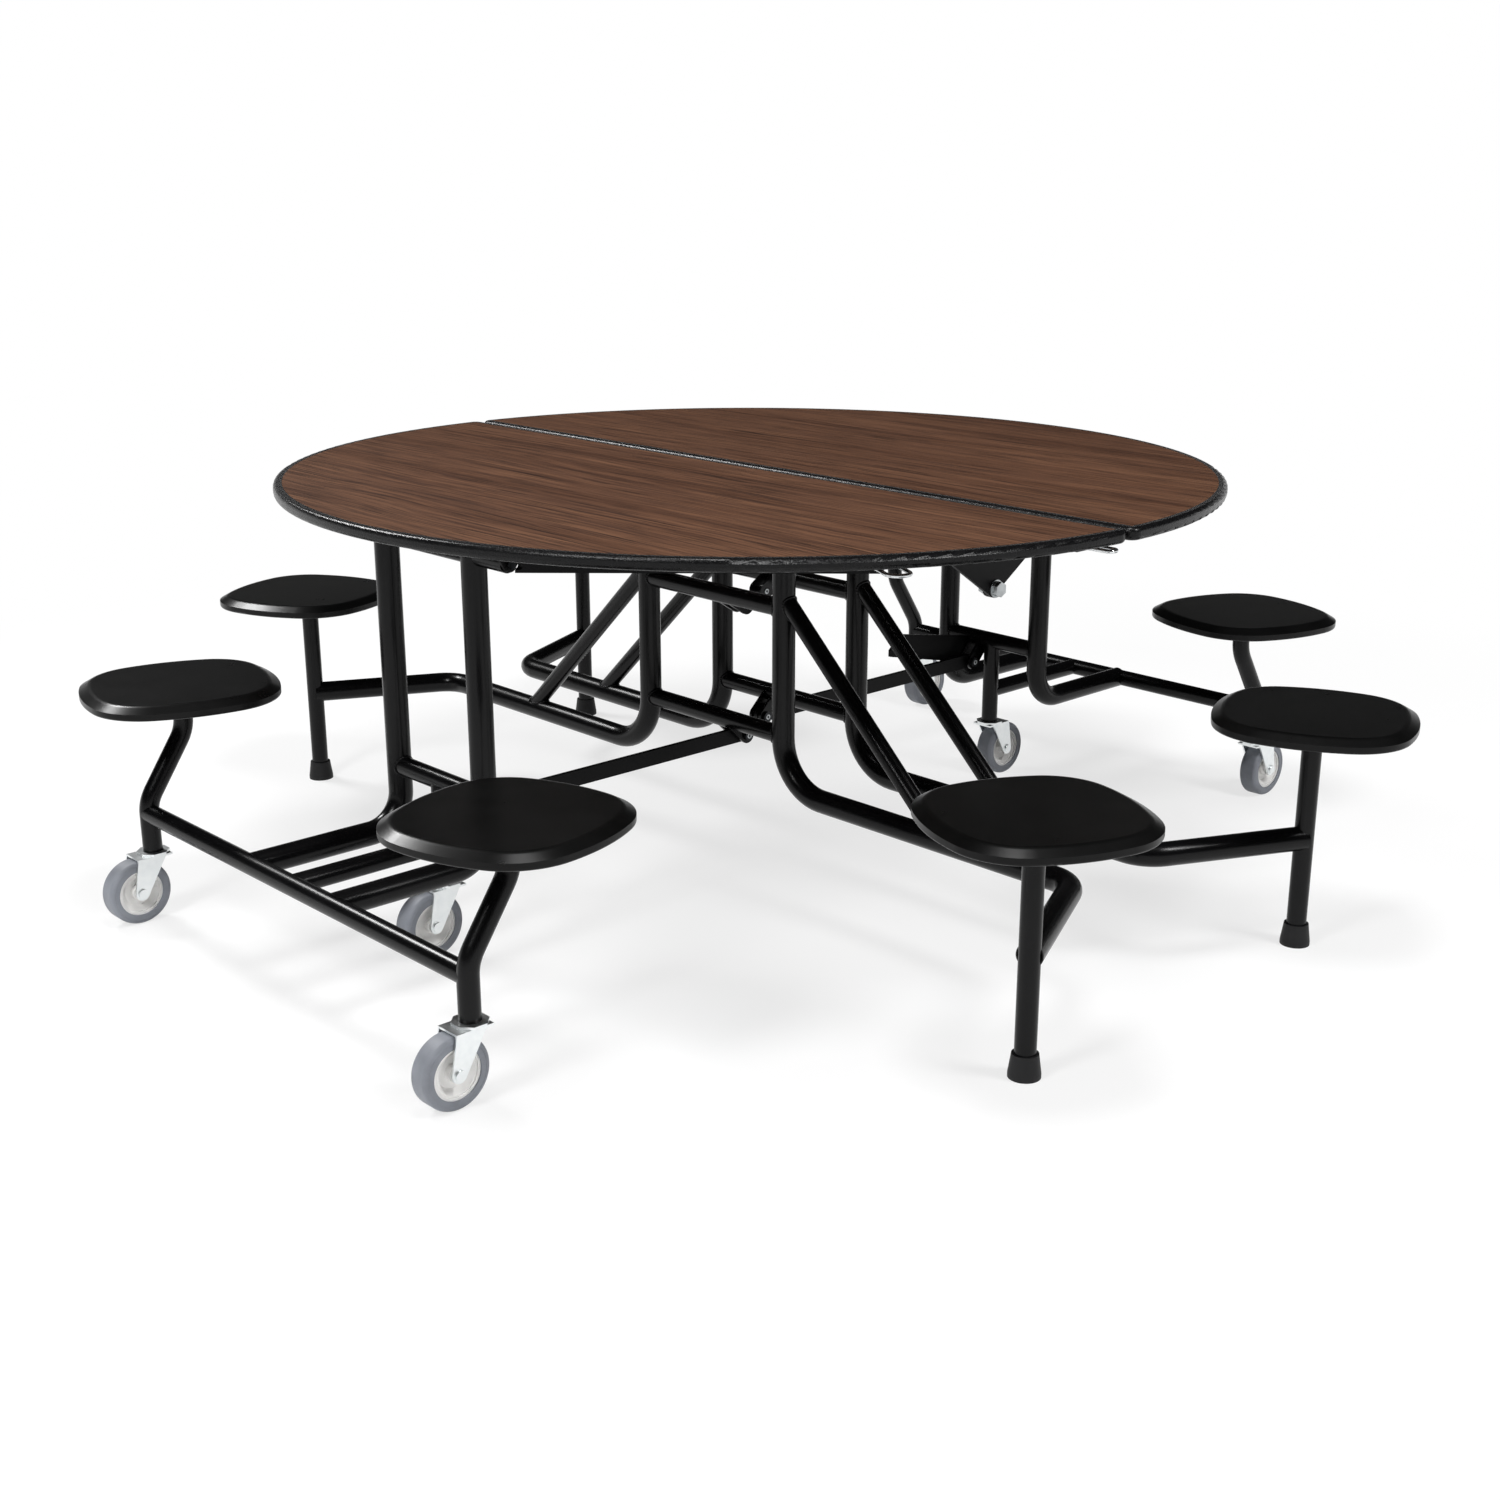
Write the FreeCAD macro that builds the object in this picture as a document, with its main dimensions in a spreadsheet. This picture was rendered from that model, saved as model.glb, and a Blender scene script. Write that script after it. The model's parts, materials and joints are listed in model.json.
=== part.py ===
import FreeCAD, Part
import math
import os
import Sketcher

# Mobile folding round table with attached swivel stools: two half tops, each on an upright
# centre frame with glide feet and an upright end frame with casters. Millimetres, Z up,
# floor at zero, the split between the halves along Y. The right half is the left half
# turned half a turn about Z.

doc = FreeCAD.newDocument("StoolTable")
sheet = doc.addObject("Spreadsheet::Sheet", "Sizes")

# Driving sizes: name, value, what it is
DRIVING = [
    ("top_height", "671", "floor to the top surface"),
    ("top_radius", "762", "radius of the closed round top"),
    ("top_thick", "19", "thickness of the top"),
    ("edge_width", "14", "width of the moulded edge in plan"),
    ("edge_round", "7", "rounding of the moulded edge"),
    ("corner_round", "16", "plan rounding where the split meets the rim"),
    ("split_gap", "8", "gap between the two halves"),
    ("main_od", "37", "outside diameter of the main frame tubes"),
    ("leg_od", "30", "outside diameter of the stool tubes"),
    ("bar_od", "30", "outside diameter of the crossbars"),
    ("brace_od", "28", "outside diameter of the braces"),
    ("outer_od", "30", "outside diameter of the outer cross tubes"),
    ("wall", "2", "wall of all the tubes"),
    ("run_height", "172", "height of the horizontal runs"),
    ("centre_x", "84", "centre uprights from the split"),
    ("centre_y", "165", "centre uprights from the middle"),
    ("centre_bend", "88", "bend radius at the foot of a centre upright"),
    ("arm_reach", "118", "turn of a centre run, short of its glide leg"),
    ("arm_bend", "55", "bend radius of that turn"),
    ("glide_x", "327", "glide leg from the split"),
    ("glide_over", "113", "glide leg beyond the rim"),
    ("low_bar_z", "263", "lower crossbar height, centre frame"),
    ("high_bar_z", "473", "upper crossbar height, centre frame"),
    ("brace_top_z", "492", "height where a brace meets its upright"),
    ("brace_foot_y", "506", "where a brace meets its run"),
    ("end_inset", "130", "end uprights inside the rim"),
    ("end_y", "110", "end uprights from the middle"),
    ("end_bend", "58", "bend radius at the foot of an end upright"),
    ("end_bar_z", "270", "crossbar height, end frame"),
    ("stem_reach", "258", "outer caster stem beyond the end uprights"),
    ("stem_y", "429", "outer caster stem from the middle"),
    ("seat_jog", "71", "inward jog of a bent stool post"),
    ("jog_low_z", "190", "height where the jog starts"),
    ("jog_high_z", "296", "height where the jog ends"),
    ("post_bend", "62", "bend radius of the stool posts"),
    ("pivot_drop", "27", "axes the tops turn on, below the top's underside"),
    ("pivot_od", "26", "outside diameter of the pivot tubes"),
    ("mid_pivot_half", "200", "half length of a centre frame's pivot tube"),
    ("end_pivot_half", "190", "half length of an end frame's pivot tube"),
    ("bush_long", "26", "length of the bushes in the pivot tubes"),
    ("ear_width", "58", "width of a pivot ear at the top"),
    ("pin_od", "10", "diameter of the pivot pins"),
    ("pin_fit", "0.05", "radial running clearance of the pins"),
    ("head_od", "17", "diameter of the link pin heads"),
    ("ear_head", "13", "diameter of the pivot pin heads at the ears"),
    ("head_thick", "4", "thickness of the pin heads"),
    ("plate", "5", "thickness of the bracket plates"),
    ("side_gap", "1", "side clearance in the clevises"),
    ("hinge_drop", "102", "main hinge axis below the top's underside"),
    ("hinge_inset", "250", "inner main hinge plate inside the rim"),
    ("hinge_plate", "6", "thickness of the main hinge plates"),
    ("hinge_gap", "1.5", "gap between main hinge plates"),
    ("hinge_bolt", "14", "diameter of the main hinge bolts"),
    ("hinge_width", "137", "width of a main hinge plate at the top"),
    ("hinge_eye", "14", "radius of the eye of a main hinge plate"),
    ("rail_depth", "36", "depth of the slanting rails under the top"),
    ("rail_clear", "7", "near end of a slanting rail past the pin heads"),
    ("rail_far_x", "270", "far end of a slanting rail from the split"),
    ("rail_inset", "210", "far end of a slanting rail inside the rim"),
    ("link_z", "230", "height of the link pivots"),
    ("link_inset", "34", "link pivots inside the uprights"),
    ("link_y", "30", "link off the middle"),
    ("link_high", "25", "height of the link bars"),
    ("link_thick", "8", "thickness of the link bars"),
    ("lug_radius", "14", "half width of the bracket lugs"),
    ("lug_gap", "5", "gap between a link bar and its lugs"),
    ("stay_drop", "22", "upper lug below its crossbar"),
    ("wheel_od", "101.6", "diameter of the caster wheels"),
    ("tread", "33", "width of the tyres"),
    ("rim_od", "72", "inside diameter of the tyres"),
    ("trail", "33", "caster trail"),
    ("fork_gap", "36", "inside width of the forks"),
    ("fork_thick", "3", "sheet thickness of the forks"),
    ("crown_gap", "2", "fork crown above the tyre"),
    ("race_od", "47", "width of the swivel race"),
    ("race_thick", "4", "thickness of the swivel race"),
    ("swivel_gap", "0.6", "gap above the swivel race"),
    ("caster_stem", "12", "diameter of the caster stems"),
    ("caster_stem_long", "46", "length of the caster stems"),
    ("axle_od", "10", "diameter of the wheel axles"),
    ("seat_top_z", "372", "floor to the seat"),
    ("seat_half", "149", "half width of a seat at its lip"),
    ("seat_side", "295", "plan radius of a seat side"),
    ("seat_corner", "100", "plan radius of a seat corner"),
    ("seat_thick", "20", "depth of the seat shell"),
    ("seat_slope", "9", "inward slope of the seat side"),
    ("seat_wall", "5", "wall of the seat shell"),
    ("hub_od", "72", "diameter of the seat hub"),
    ("spindle_od", "20", "diameter of the seat spindles"),
    ("collar_od", "42", "diameter of the spindle collars"),
    ("collar_thick", "7", "thickness of the spindle collars"),
    ("seat_gap", "0.5", "gap between collar and seat hub"),
    ("glide_od", "45", "diameter of a glide foot at the floor"),
    ("glide_neck", "37", "diameter of a glide foot at its neck"),
    ("glide_high", "34", "height of a glide foot"),
    ("glide_sole", "10", "sole thickness of a glide foot"),
    ("wire_od", "6", "diameter of the latch wire"),
    ("wire_span", "18", "spread of the latch wire"),
    ("wire_inset", "10", "tip of the latch loop inside the rim"),
    ("wire_long", "112", "length of the latch loop"),
    ("wire_x", "24", "middle of the latch loop from the split"),
    ("wire_drop", "10", "latch wire below the top"),
    ("guide_long", "24", "length of the latch guide"),
    ("guide_inset", "52", "outer end of the latch guide inside the loop's tip"),
    ("wire_fit", "0.4", "radial clearance of the latch wire"),
    ("wire_bend", "8", "bend radius of the latch wire"),
    ("guide_wall", "7", "latch guide round the wire"),
    ("slant_thick", "8", "thickness of the slanting rails"),
    ("ear_radius", "11", "radius of the eye of a pivot ear"),
    ("hinge_side", "36", "main hinge plate in from the split edge"),
    ("hex_flats", "20", "width over flats of the main hinge bolts"),
    ("nut_thick", "9", "thickness of the main hinge nuts and heads"),
    ("washer_thick", "2", "thickness of the main hinge washers"),
    ("washer_od", "27", "diameter of the main hinge washers"),
    ("hub_inset", "2", "wheel hub inside the tyre's faces"),
    ("boss_od", "24", "diameter of the wheel boss"),
    ("web_thick", "8", "thickness of the wheel web"),
    ("rim_wall", "3.5", "thickness of the wheel rim"),
    ("rim_step", "2.5", "step down from the wheel rim"),
    ("rim_ledge", "2.5", "width of the ledge inside the wheel rim"),
    ("dish_reach", "8", "width of the wheel's sloping dish"),
    ("tyre_round", "6", "rounding of the tyre shoulders"),
    ("crown_over", "2", "fork crown behind the axle"),
    ("crown_front", "22", "fork crown ahead of the stem"),
    ("fork_front", "12", "front of a fork leg at the crown"),
    ("fork_eye", "11", "radius of a fork leg's eye"),
    ("rivet_od", "15", "diameter of the axle heads"),
    ("rivet_thick", "3", "thickness of the axle heads"),
    ("seat_slope_high", "16", "height of the sloping seat side"),
    ("seat_crown", "14", "rounding of the seat's upper edge"),
    ("seat_edge", "3.5", "rounding of the seat's lower edge"),
    ("hub_below", "2", "seat hub below the shell"),
    ("spindle_gap", "1", "gap over the seat spindle"),
    ("plug_long", "24", "length of the spindle plugs"),
    ("glide_skirt", "6", "straight skirt of a glide foot"),
    ("catch_gap", "6.5", "catch plate clear of the link lugs"),
    ("catch_thick", "5", "thickness of the catch plate"),
    ("catch_long", "232", "catch plate from the crossbar to its tip"),
    ("catch_nose", "30", "length of the catch plate's nose"),
    ("catch_tip_drop", "2", "tip's lower corner below the end crossbar"),
    ("catch_tip_rise", "10", "tip's upper corner above the end crossbar"),
    ("catch_rise", "36", "catch plate's shoulder above the end crossbar"),
    ("catch_root_drop", "54", "root's lower corner below the end crossbar"),
]
# Sizes that follow from the driving sizes
DERIVED = [
    ("under_z", "=top_height - top_thick"),
    ("pivot_z", "=under_z - pivot_drop"),
    ("hinge_z", "=under_z - hinge_drop"),
    ("end_x", "=top_radius - end_inset"),
    ("stem_x", "=end_x + stem_reach"),
    ("glide_y", "=top_radius + glide_over"),
    ("arm_turn_y", "=glide_y - arm_reach"),
    ("wire_tip", "=top_radius - wire_inset"),
    ("wire_tail", "=wire_tip - wire_long"),
    ("guide_y", "=wire_tip - guide_inset"),
    ("hinge_y", "=top_radius - hinge_inset"),
    ("rail_far_y", "=top_radius - rail_inset"),
    ("rail_near_y", "=end_pivot_half + side_gap + plate + head_thick + rail_clear"),
    ("half_gap", "=split_gap / 2"),
    ("panel_radius", "=top_radius - edge_width"),
    ("panel_split", "=half_gap + edge_width"),
    ("rim_y", "=sqrt(top_radius ^ 2 - half_gap ^ 2)"),
    ("panel_y", "=sqrt(panel_radius ^ 2 - panel_split ^ 2)"),
    ("main_id", "=main_od - 2 * wall"),
    ("leg_id", "=leg_od - 2 * wall"),
    ("bar_id", "=bar_od - 2 * wall"),
    ("brace_id", "=brace_od - 2 * wall"),
    ("outer_id", "=outer_od - 2 * wall"),
    ("pivot_id", "=pivot_od - 2 * wall"),
    ("mid_bush", "=mid_pivot_half - bush_long"),
    ("end_bush", "=end_pivot_half - bush_long"),
    ("end_ear_in", "=end_x - ear_width / 2"),
    ("end_ear_out", "=end_x + ear_width / 2"),
    ("mid_ear_in", "=centre_x - ear_width / 2"),
    ("mid_ear_out", "=centre_x + ear_width / 2"),
    ("pin_bore", "=pin_od + 2 * pin_fit"),
    ("rail_z", "=under_z - rail_depth"),
    ("seat_x", "=stem_x - seat_jog"),
    ("arm_start", "=(centre_y + arm_turn_y) / 2"),
    ("link_in_x", "=centre_x - link_inset"),
    ("link_out_x", "=end_x - link_inset"),
    ("link_half", "=link_high / 2"),
    ("link_side", "=link_thick / 2"),
    ("lug_in", "=link_side + lug_gap"),
    ("lug_out", "=lug_in + plate"),
    ("stay_z", "=high_bar_z - stay_drop"),
    ("hinge_left", "=hinge_y + hinge_plate + hinge_gap"),
    ("wheel_radius", "=wheel_od / 2"),
    ("crown_z", "=wheel_od + crown_gap"),
    ("race_z", "=crown_z + fork_thick"),
    ("race_top", "=race_z + race_thick"),
    ("tube_foot_z", "=race_top + swivel_gap"),
    ("stem_top", "=race_top + caster_stem_long"),
    ("stem_bore", "=caster_stem + 2 * pin_fit"),
    ("fork_half", "=fork_gap / 2"),
    ("fork_out", "=fork_half + fork_thick"),
    ("hub_half", "=tread / 2 - hub_inset"),
    ("tread_half", "=tread / 2"),
    ("axle_hole_r", "=axle_od / 2 + pin_fit"),
    ("boss_r", "=boss_od / 2"),
    ("web_half", "=web_thick / 2"),
    ("rim_r", "=rim_od / 2"),
    ("rim_in_r", "=rim_r - rim_wall"),
    ("ledge_half", "=hub_half - rim_step"),
    ("ledge_r", "=rim_in_r - rim_ledge"),
    ("dish_r", "=ledge_r - dish_reach"),
    ("crown_back", "=trail + crown_over"),
    ("race_a", "=race_od / 2"),
    ("race_b", "=race_a * tan(22.5)"),
    ("axle_out", "=fork_out + rivet_thick"),
    ("seat_low_z", "=seat_top_z - seat_thick"),
    ("seat_centre", "=seat_side - seat_half"),
    ("recess_od", "=2 * (seat_half - seat_slope - seat_wall)"),
    ("hub_low_z", "=seat_low_z - hub_below"),
    ("collar_top", "=hub_low_z - seat_gap"),
    ("post_top", "=collar_top - collar_thick"),
    ("plug_foot", "=post_top - plug_long"),
    ("bore_top", "=seat_top_z - seat_wall"),
    ("spindle_top", "=bore_top - spindle_gap"),
    ("socket_top", "=tube_foot_z + caster_stem_long"),
    ("glide_r", "=glide_od / 2"),
    ("glide_neck_r", "=glide_neck / 2"),
    ("leg_r", "=leg_od / 2"),
    ("spindle_bore", "=spindle_od + 2 * pin_fit"),
    ("wire_z", "=under_z - wire_drop"),
    ("wire_in", "=wire_x - wire_span / 2"),
    ("wire_out", "=wire_x + wire_span / 2"),
    ("wire_bore", "=wire_od + 2 * wire_fit"),
    ("guide_low", "=wire_z - guide_wall"),
    ("guide_in", "=wire_in - guide_wall"),
    ("guide_out", "=wire_out + guide_wall"),
    ("guide_end", "=guide_y - guide_long"),
    ("slant_run", "=end_x - rail_far_x"),
    ("slant_rise", "=rail_far_y - rail_near_y"),
    ("slant_long", "=sqrt(slant_run ^ 2 + slant_rise ^ 2)"),
    ("slant_ox", "=slant_thick / 2 * slant_rise / slant_long"),
    ("slant_oy", "=slant_thick / 2 * slant_run / slant_long"),
    ("slant_ax", "=end_x - slant_ox"),
    ("slant_ay", "=rail_near_y - slant_oy"),
    ("slant_bx", "=rail_far_x - slant_ox"),
    ("slant_by", "=rail_far_y - slant_oy"),
    ("slant_cx", "=rail_far_x + slant_ox"),
    ("slant_cy", "=rail_far_y + slant_oy"),
    ("slant_dx", "=end_x + slant_ox"),
    ("slant_dy", "=rail_near_y + slant_oy"),
    ("end_ear_a", "=end_pivot_half + side_gap"),
    ("end_ear_b", "=end_ear_a + plate"),
    ("mid_ear_a", "=mid_pivot_half + side_gap"),
    ("mid_ear_b", "=mid_ear_a + plate"),
    ("end_head", "=end_ear_b + head_thick"),
    ("mid_head", "=mid_ear_b + head_thick"),
    ("lug_a", "=link_y + lug_out"),
    ("lug_b", "=link_y + lug_in"),
    ("lug_c", "=link_y - lug_in"),
    ("lug_d", "=link_y - lug_out"),
    ("link_a", "=link_y + link_side"),
    ("link_b", "=link_y - link_side"),
    ("link_head_a", "=lug_a + side_gap"),
    ("link_head_b", "=link_head_a + head_thick"),
    ("link_head_c", "=lug_d - side_gap"),
    ("link_head_d", "=link_head_c - head_thick"),
    ("hinge_in_b", "=hinge_y + hinge_plate"),
    ("hinge_out_b", "=hinge_left + hinge_plate"),
    ("hinge_near", "=half_gap + hinge_side"),
    ("hinge_far", "=hinge_near + hinge_width"),
    ("hinge_bore", "=hinge_bolt + 2 * pin_fit"),
    ("bolt_shank_a", "=hinge_y - washer_thick"),
    ("bolt_nut_a", "=bolt_shank_a - nut_thick"),
    ("bolt_shank_b", "=hinge_out_b + washer_thick"),
    ("bolt_head_b", "=bolt_shank_b + nut_thick"),
    ("hex_a", "=hex_flats / 2"),
    ("hex_b", "=hex_flats / 2 * tan(30)"),
    ("hex_c", "=hex_flats / 2 / cos(30)"),
    ("hex_c_top", "=hinge_z + hex_b"),
    ("hex_c_low", "=hinge_z - hex_b"),
    ("hex_a_top", "=hinge_z + hex_c"),
    ("hex_a_low", "=hinge_z - hex_c"),
    ("catch_a", "=link_y + lug_out + catch_gap"),
    ("catch_b", "=catch_a + catch_thick"),
    ("catch_in", "=end_x - catch_long"),
    ("catch_shoulder", "=catch_in + catch_nose"),
    ("catch_tip_low", "=end_bar_z - catch_tip_drop"),
    ("catch_tip_top", "=end_bar_z + catch_tip_rise"),
    ("catch_peak", "=end_bar_z + catch_rise"),
    ("catch_root_low", "=end_bar_z - catch_root_drop"),
]
for row, (alias, number, note) in enumerate(DRIVING, 1):
    sheet.set("A%d" % row, note)
    sheet.set("B%d" % row, number)
    sheet.setAlias("B%d" % row, alias)
for row, (alias, formula) in enumerate(DERIVED, len(DRIVING) + 1):
    sheet.set("B%d" % row, formula)
    sheet.setAlias("B%d" % row, alias)
doc.recompute()


def size(name):
    """Number behind a signed sheet name."""
    if name == "0":
        return 0.0
    if name.startswith("-"):
        return -float(sheet.get(name[1:]))
    return float(sheet.get(name))


def formula(name):
    """Expression for a signed sheet name."""
    if name.startswith("-"):
        return "-Sizes." + name[1:]
    return "Sizes." + name


def bind(obj, prop, name):
    """Drive a property from a signed sheet name."""
    if name != "0":
        obj.setExpression(prop, formula(name))


def point(pair):
    return FreeCAD.Vector(size(pair[0]), size(pair[1]), 0)


def new_body(label):
    body = doc.addObject("PartDesign::Body", label)
    body.Label = label
    body.AllowCompound = True
    return body


def origin_item(body, role):
    return [item for item in body.Origin.OriginFeatures if item.Role == role][0]


def new_sketch(body, name, plane, offset="0", shift_x="0"):
    """Sketch on an origin plane; offset moves it along its normal, shift_x along its first axis."""
    sketch = body.newObject("Sketcher::SketchObject", name)
    sketch.AttachmentSupport = [(origin_item(body, plane), "")]
    sketch.MapMode = "FlatFace"
    bind(sketch, "AttachmentOffset.Base.z", offset)
    bind(sketch, "AttachmentOffset.Base.x", shift_x)
    return sketch


def fix(sketch, geo, pos, pair):
    """Hold a sketch point at a pair of signed sheet names."""
    for kind, name, axis in (("DistanceX", pair[0], -2), ("DistanceY", pair[1], -1)):
        if name == "0":
            sketch.addConstraint(Sketcher.Constraint("PointOnObject", geo, pos, axis))
        else:
            index = sketch.addConstraint(Sketcher.Constraint(kind, -1, 1, geo, pos, size(name)))
            bind(sketch, "Constraints[%d]" % index, name)


def radius(sketch, geo, name, kind="Radius"):
    index = sketch.addConstraint(Sketcher.Constraint(kind, geo, size(name)))
    bind(sketch, "Constraints[%d]" % index, name)


def draw_circle(sketch, centre, diameter):
    circle = Part.Circle(point(centre), FreeCAD.Vector(0, 0, 1), size(diameter) / 2)
    geo = sketch.addGeometry(circle, False)
    fix(sketch, geo, 3, centre)
    radius(sketch, geo, diameter, "Diameter")


def draw_polygon(sketch, pairs):
    count = len(pairs)
    first = sketch.GeometryCount
    for i in range(count):
        sketch.addGeometry(Part.LineSegment(point(pairs[i]), point(pairs[(i + 1) % count])), False)
    for i in range(count):
        following = first + (i + 1) % count
        sketch.addConstraint(Sketcher.Constraint("Coincident", first + i, 2, following, 1))
        fix(sketch, first + i, 1, pairs[i])


def draw_box(sketch, x0, y0, x1, y1):
    draw_polygon(sketch, [(x0, y0), (x1, y0), (x1, y1), (x0, y1)])


def tangent_arc(sketch, before, corner, after, bend):
    """Arc of a bend at a corner between two points: geometry, and the tangent points."""
    to_before = (before - corner).normalize()
    to_after = (after - corner).normalize()
    half = to_before.getAngle(to_after) / 2
    reach = bend / math.tan(half)
    start = corner + to_before * reach
    finish = corner + to_after * reach
    centre = corner + (to_before + to_after).normalize() * (bend / math.sin(half))
    turn = to_before.cross(to_after).z
    a0 = math.atan2(start.y - centre.y, start.x - centre.x)
    a1 = math.atan2(finish.y - centre.y, finish.x - centre.x)
    if turn > 0:
        a0, a1 = a1, a0
    circle = Part.Circle(centre, FreeCAD.Vector(0, 0, 1), bend)
    return Part.ArcOfCircle(circle, a0, a1), start, finish, turn > 0


def draw_path(sketch, pairs, bends):
    """Open path of lines joined by tangent bends."""
    points = [point(pair) for pair in pairs]
    arcs = []
    for i in range(1, len(points) - 1):
        arcs.append(tangent_arc(sketch, points[i - 1], points[i], points[i + 1], size(bends[i - 1])))
    order = []
    last = points[0]
    for i in range(len(points) - 1):
        stop = arcs[i][1] if i < len(arcs) else points[-1]
        order.append(sketch.addGeometry(Part.LineSegment(last, stop), False))
        if i < len(arcs):
            order.append(sketch.addGeometry(arcs[i][0], False))
            last = arcs[i][2]
    fix(sketch, order[0], 1, pairs[0])
    fix(sketch, order[-1], 2, pairs[-1])
    for i, (arc, start, finish, backwards) in enumerate(arcs):
        line, bend, following = order[2 * i], order[2 * i + 1], order[2 * i + 2]
        ends = (2, 1) if backwards else (1, 2)
        sketch.addConstraint(Sketcher.Constraint("Tangent", line, 2, bend, ends[0]))
        sketch.addConstraint(Sketcher.Constraint("Tangent", bend, ends[1], following, 1))
        radius(sketch, bend, bends[i])
        corner = sketch.addGeometry(Part.Point(points[i + 1]), True)
        sketch.addConstraint(Sketcher.Constraint("PointOnObject", corner, 1, line))
        sketch.addConstraint(Sketcher.Constraint("PointOnObject", corner, 1, following))
        fix(sketch, corner, 1, pairs[i + 1])
    return ["Edge%d" % (i + 1) for i in range(len(order))]


def tangent_from(outside, centre, r, side):
    """Point where a line from outside touches a circle, on the left (1) or right (-1)."""
    gap = outside - centre
    reach = math.acos(r / gap.Length)
    angle = math.atan2(gap.y, gap.x) + side * reach
    return centre + FreeCAD.Vector(math.cos(angle), math.sin(angle), 0) * r


def draw_drop(sketch, left, right, eye, eye_radius):
    """Plate with a straight upper edge from left to right, tapering down to a round eye."""
    a, b, c = point(left), point(right), point(eye)
    r = size(eye_radius)
    touch_a = tangent_from(a, c, r, 1)
    touch_b = tangent_from(b, c, r, -1)
    top = sketch.addGeometry(Part.LineSegment(b, a), False)
    down = sketch.addGeometry(Part.LineSegment(a, touch_a), False)
    circle = Part.Circle(c, FreeCAD.Vector(0, 0, 1), r)
    a0 = math.atan2(touch_a.y - c.y, touch_a.x - c.x)
    a1 = math.atan2(touch_b.y - c.y, touch_b.x - c.x)
    arc = sketch.addGeometry(Part.ArcOfCircle(circle, a0, a1), False)
    up = sketch.addGeometry(Part.LineSegment(touch_b, b), False)
    sketch.addConstraint(Sketcher.Constraint("Coincident", top, 2, down, 1))
    sketch.addConstraint(Sketcher.Constraint("Coincident", up, 2, top, 1))
    sketch.addConstraint(Sketcher.Constraint("Tangent", down, 2, arc, 1))
    sketch.addConstraint(Sketcher.Constraint("Tangent", arc, 2, up, 1))
    fix(sketch, down, 1, left)
    fix(sketch, top, 1, right)
    fix(sketch, arc, 3, eye)
    radius(sketch, arc, eye_radius)


def draw_slot(sketch, first, second, half):
    """Rounded bar from one centre to another."""
    a, b = point(first), point(second)
    r = size(half)
    along = (b - a).normalize()
    side = FreeCAD.Vector(-along.y, along.x, 0) * r
    heading = math.atan2(along.y, along.x)
    up = FreeCAD.Vector(0, 0, 1)
    quarter = math.pi / 2
    start = Part.ArcOfCircle(Part.Circle(a, up, r), heading + quarter, heading + 3 * quarter)
    end = Part.ArcOfCircle(Part.Circle(b, up, r), heading - quarter, heading + quarter)
    arc_a = sketch.addGeometry(start, False)
    line_a = sketch.addGeometry(Part.LineSegment(a - side, b - side), False)
    arc_b = sketch.addGeometry(end, False)
    line_b = sketch.addGeometry(Part.LineSegment(b + side, a + side), False)
    sketch.addConstraint(Sketcher.Constraint("Tangent", arc_a, 2, line_a, 1))
    sketch.addConstraint(Sketcher.Constraint("Tangent", line_a, 2, arc_b, 1))
    sketch.addConstraint(Sketcher.Constraint("Tangent", arc_b, 2, line_b, 1))
    sketch.addConstraint(Sketcher.Constraint("Tangent", line_b, 2, arc_a, 1))
    sketch.addConstraint(Sketcher.Constraint("Equal", arc_a, arc_b))
    fix(sketch, arc_a, 3, first)
    fix(sketch, arc_b, 3, second)
    radius(sketch, arc_a, half)


def draw_half_disc(sketch, disc_radius, split, half_chord):
    """Outline of a left half top: an arc about the origin closed by the split line."""
    r = size(disc_radius)
    low = FreeCAD.Vector(-size(split), -size(half_chord), 0)
    high = FreeCAD.Vector(-size(split), size(half_chord), 0)
    circle = Part.Circle(FreeCAD.Vector(0, 0, 0), FreeCAD.Vector(0, 0, 1), r)
    a0 = math.atan2(high.y, high.x)
    a1 = math.atan2(low.y, low.x) + 2 * math.pi
    arc = sketch.addGeometry(Part.ArcOfCircle(circle, a0, a1), False)
    line = sketch.addGeometry(Part.LineSegment(low, high), False)
    sketch.addConstraint(Sketcher.Constraint("Coincident", arc, 2, line, 1))
    sketch.addConstraint(Sketcher.Constraint("Coincident", line, 2, arc, 1))
    sketch.addConstraint(Sketcher.Constraint("Coincident", arc, 3, -1, 1))
    sketch.addConstraint(Sketcher.Constraint("Vertical", line))
    radius(sketch, arc, disc_radius)
    index = sketch.addConstraint(Sketcher.Constraint("DistanceX", line, 1, -1, 1, size(split)))
    bind(sketch, "Constraints[%d]" % index, split)


def extrude(body, name, kind, sketch, length):
    feature = body.newObject(kind, name)
    feature.Profile = sketch
    feature.setExpression("Length", length)
    return feature


def span(low, high):
    return "(%s) - (%s)" % (formula(high), formula(low))


def pad(body, name, plane, low, high, draw, *shape):
    """Pad a drawn outline from one place to another along the plane's own world axis."""
    offset = low
    if plane == "XZ_Plane":
        offset = high[1:] if high.startswith("-") else "-" + high
    sketch = new_sketch(body, name + "_outline", plane, offset)
    draw(sketch, *shape)
    return extrude(body, name, "PartDesign::Pad", sketch, span(low, high))


def pocket(body, name, plane, low, high, draw, *shape):
    """Cut a drawn outline from one place to another along the plane's own world axis."""
    offset = high
    if plane == "XZ_Plane":
        offset = low[1:] if low.startswith("-") else "-" + low
    sketch = new_sketch(body, name + "_outline", plane, offset)
    draw(sketch, *shape)
    return extrude(body, name, "PartDesign::Pocket", sketch, span(low, high))


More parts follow.
